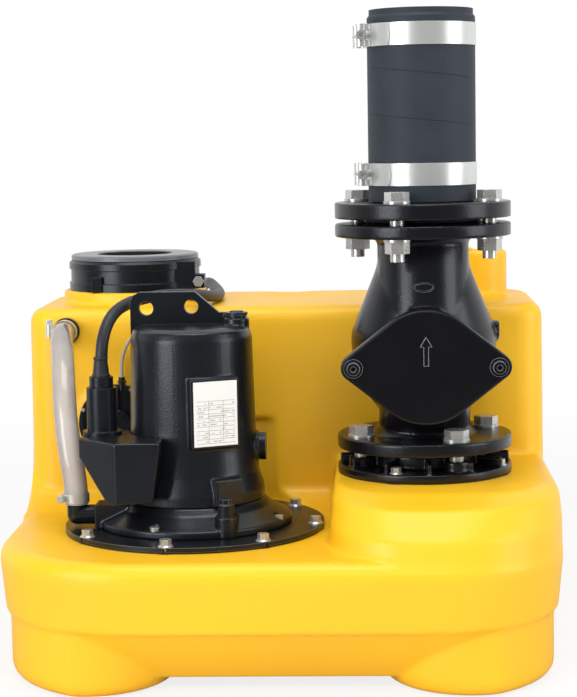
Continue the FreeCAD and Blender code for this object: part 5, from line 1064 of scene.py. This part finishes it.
@dataclass
class StrainRelief:
    """The ribbed rubber boot that guides the power cable out of its gland, in millimetres."""

    centre: tuple[float, float] = (-199.0, -116.0)
    low: float = 330.2
    height: float = 22.0
    foot_radius: float = 10.6
    tip_radius: float = 8.1
    grooves: int = 4
    groove_depth: float = 0.9
    facets: int = 48

    def build(self) -> bpy.types.Object:
        """Makes the boot round the cable.

        Returns:
            The piece.
        """
        clear_selection()
        x, y = self.centre
        bpy.ops.mesh.primitive_cone_add(
            vertices=self.facets, radius1=self.foot_radius * MM, radius2=self.tip_radius * MM,
            depth=self.height * MM, location=(x * MM, y * MM, (self.low + self.height / 2) * MM))
        piece = bpy.context.object
        piece.name = "strain_relief"
        bpy.ops.object.transform_apply(location=True, rotation=True, scale=True)
        bpy.ops.object.mode_set(mode="EDIT")
        step = self.height / (2 * self.grooves + 1)
        for number in range(1, 2 * self.grooves + 1):
            bpy.ops.mesh.select_all(action="SELECT")
            level = (self.low + number * step) * MM
            bpy.ops.mesh.bisect(plane_co=(0.0, 0.0, level), plane_no=(0.0, 0.0, 1.0))
        bpy.ops.object.mode_set(mode="OBJECT")
        for face in piece.data.polygons:
            level = face.center.z / MM - self.low
            side = abs(face.normal.z) < 0.5
            face.select = side and int(level // step) % 2 == 1
        bpy.ops.object.mode_set(mode="EDIT")
        bpy.ops.mesh.select_mode(type="FACE")
        bpy.ops.mesh.extrude_region_shrink_fatten(
            TRANSFORM_OT_shrink_fatten={"value": -self.groove_depth * MM})
        bpy.ops.object.mode_set(mode="OBJECT")
        round_edges(piece, width=0.35, smooth_under=40.0)
        dress(piece, Slot.CABLE.material())
        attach(piece, "root")
        return piece


@dataclass
class CastingMark:
    """The long raised ring cast on the valve's front, in millimetres.

    It is drawn at its start, before the valve, and laid back on the casting.
    """

    centre: tuple[float, float] = (164.0, 426.0)
    half_width: float = 11.5
    half_height: float = 5.6
    wall: float = 2.2
    relief: float = 1.3
    roundness: float = 0.7
    start: float = -300.0
    facets: int = 48

    def build(self) -> bpy.types.Object:
        """Makes the ring and lays it on the casting.

        Returns:
            The piece.
        """
        clear_selection()
        x, z = self.centre
        bpy.ops.mesh.primitive_circle_add(vertices=self.facets, radius=1.0, fill_type="NGON",
                                          location=(0.0, 0.0, 0.0), rotation=(math.pi / 2, 0.0, 0.0))
        piece = bpy.context.object
        piece.name = "casting_mark"
        bpy.ops.object.transform_apply(location=True, rotation=True, scale=True)
        for vertex in piece.data.vertices:
            across = math.copysign(abs(vertex.co.x) ** self.roundness, vertex.co.x)
            place = (x + self.half_width * across, self.start, z + self.half_height * vertex.co.z)
            vertex.co = Vector(place) * MM
        bpy.ops.object.mode_set(mode="EDIT")
        bpy.ops.mesh.select_all(action="SELECT")
        bpy.ops.mesh.inset(thickness=self.wall * MM)
        bpy.ops.mesh.delete(type="ONLY_FACE")
        bpy.ops.mesh.select_all(action="SELECT")
        bpy.ops.object.mode_set(mode="OBJECT")
        lay = piece.modifiers.new("lay", "SHRINKWRAP")
        lay.wrap_method = "PROJECT"
        lay.use_project_y = True
        lay.use_positive_direction = True
        lay.use_negative_direction = False
        lay.target = bpy.data.objects["soft_valve_body"]
        lay.offset = self.relief * MM / 2
        bpy.ops.object.modifier_apply(modifier="lay")
        thick = piece.modifiers.new("thick", "SOLIDIFY")
        thick.thickness = self.relief * MM
        thick.offset = 0.0
        bpy.ops.object.modifier_apply(modifier="thick")
        round_edges(piece, width=0.4, smooth_under=50.0)
        # The cover finish gives the ring's rim its painted highlight.
        dress(piece, Slot.COVER.material())
        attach(piece, "root")
        return piece


@dataclass
class LiftingStation:
    """The whole station, dressed part by part."""

    inlet_radius: float = 47.6 * MM

    def dress_nodes(self) -> None:
        """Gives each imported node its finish."""
        nodes = frame_nodes()
        for finish, names in NODE_FINISHES.items():
            for name in names:
                dress(nodes[name], finish.material())
        dress(nodes["rubber_sleeve"], SleeveRubber(middle_of("rubber_sleeve")).material())
        dress(nodes["inlet_seal"], SealRubber(middle_of("inlet_seal"), self.inlet_radius).material())
        low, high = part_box("nameplate")
        turn = math.atan2(high.y - low.y, high.x - low.x)
        dress(nodes["nameplate"], RuledPlate(middle_of("nameplate"), turn).material())

    def build(self) -> None:
        """Builds each piece in turn."""
        PowerCord().build()
        LOG.info("power cord made")
        Tubes().build()
        LOG.info("hose and sensor line made")
        self.dress_nodes()
        for part in (*SOFT_PARTS, StrainRelief(), CastingMark()):
            made = part.build()
            LOG.info("%s has %d faces", made.name, len(made.data.polygons))


def main() -> None:
    """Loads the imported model, dresses it and lights it."""
    logging.basicConfig(level=logging.INFO, format="%(name)s: %(message)s")
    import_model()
    bpy.context.scene.view_settings.view_transform = "Standard"
    StudioCamera().build()
    LiftingStation().build()
    Studio().build()


if __name__ == "__main__":
    main()
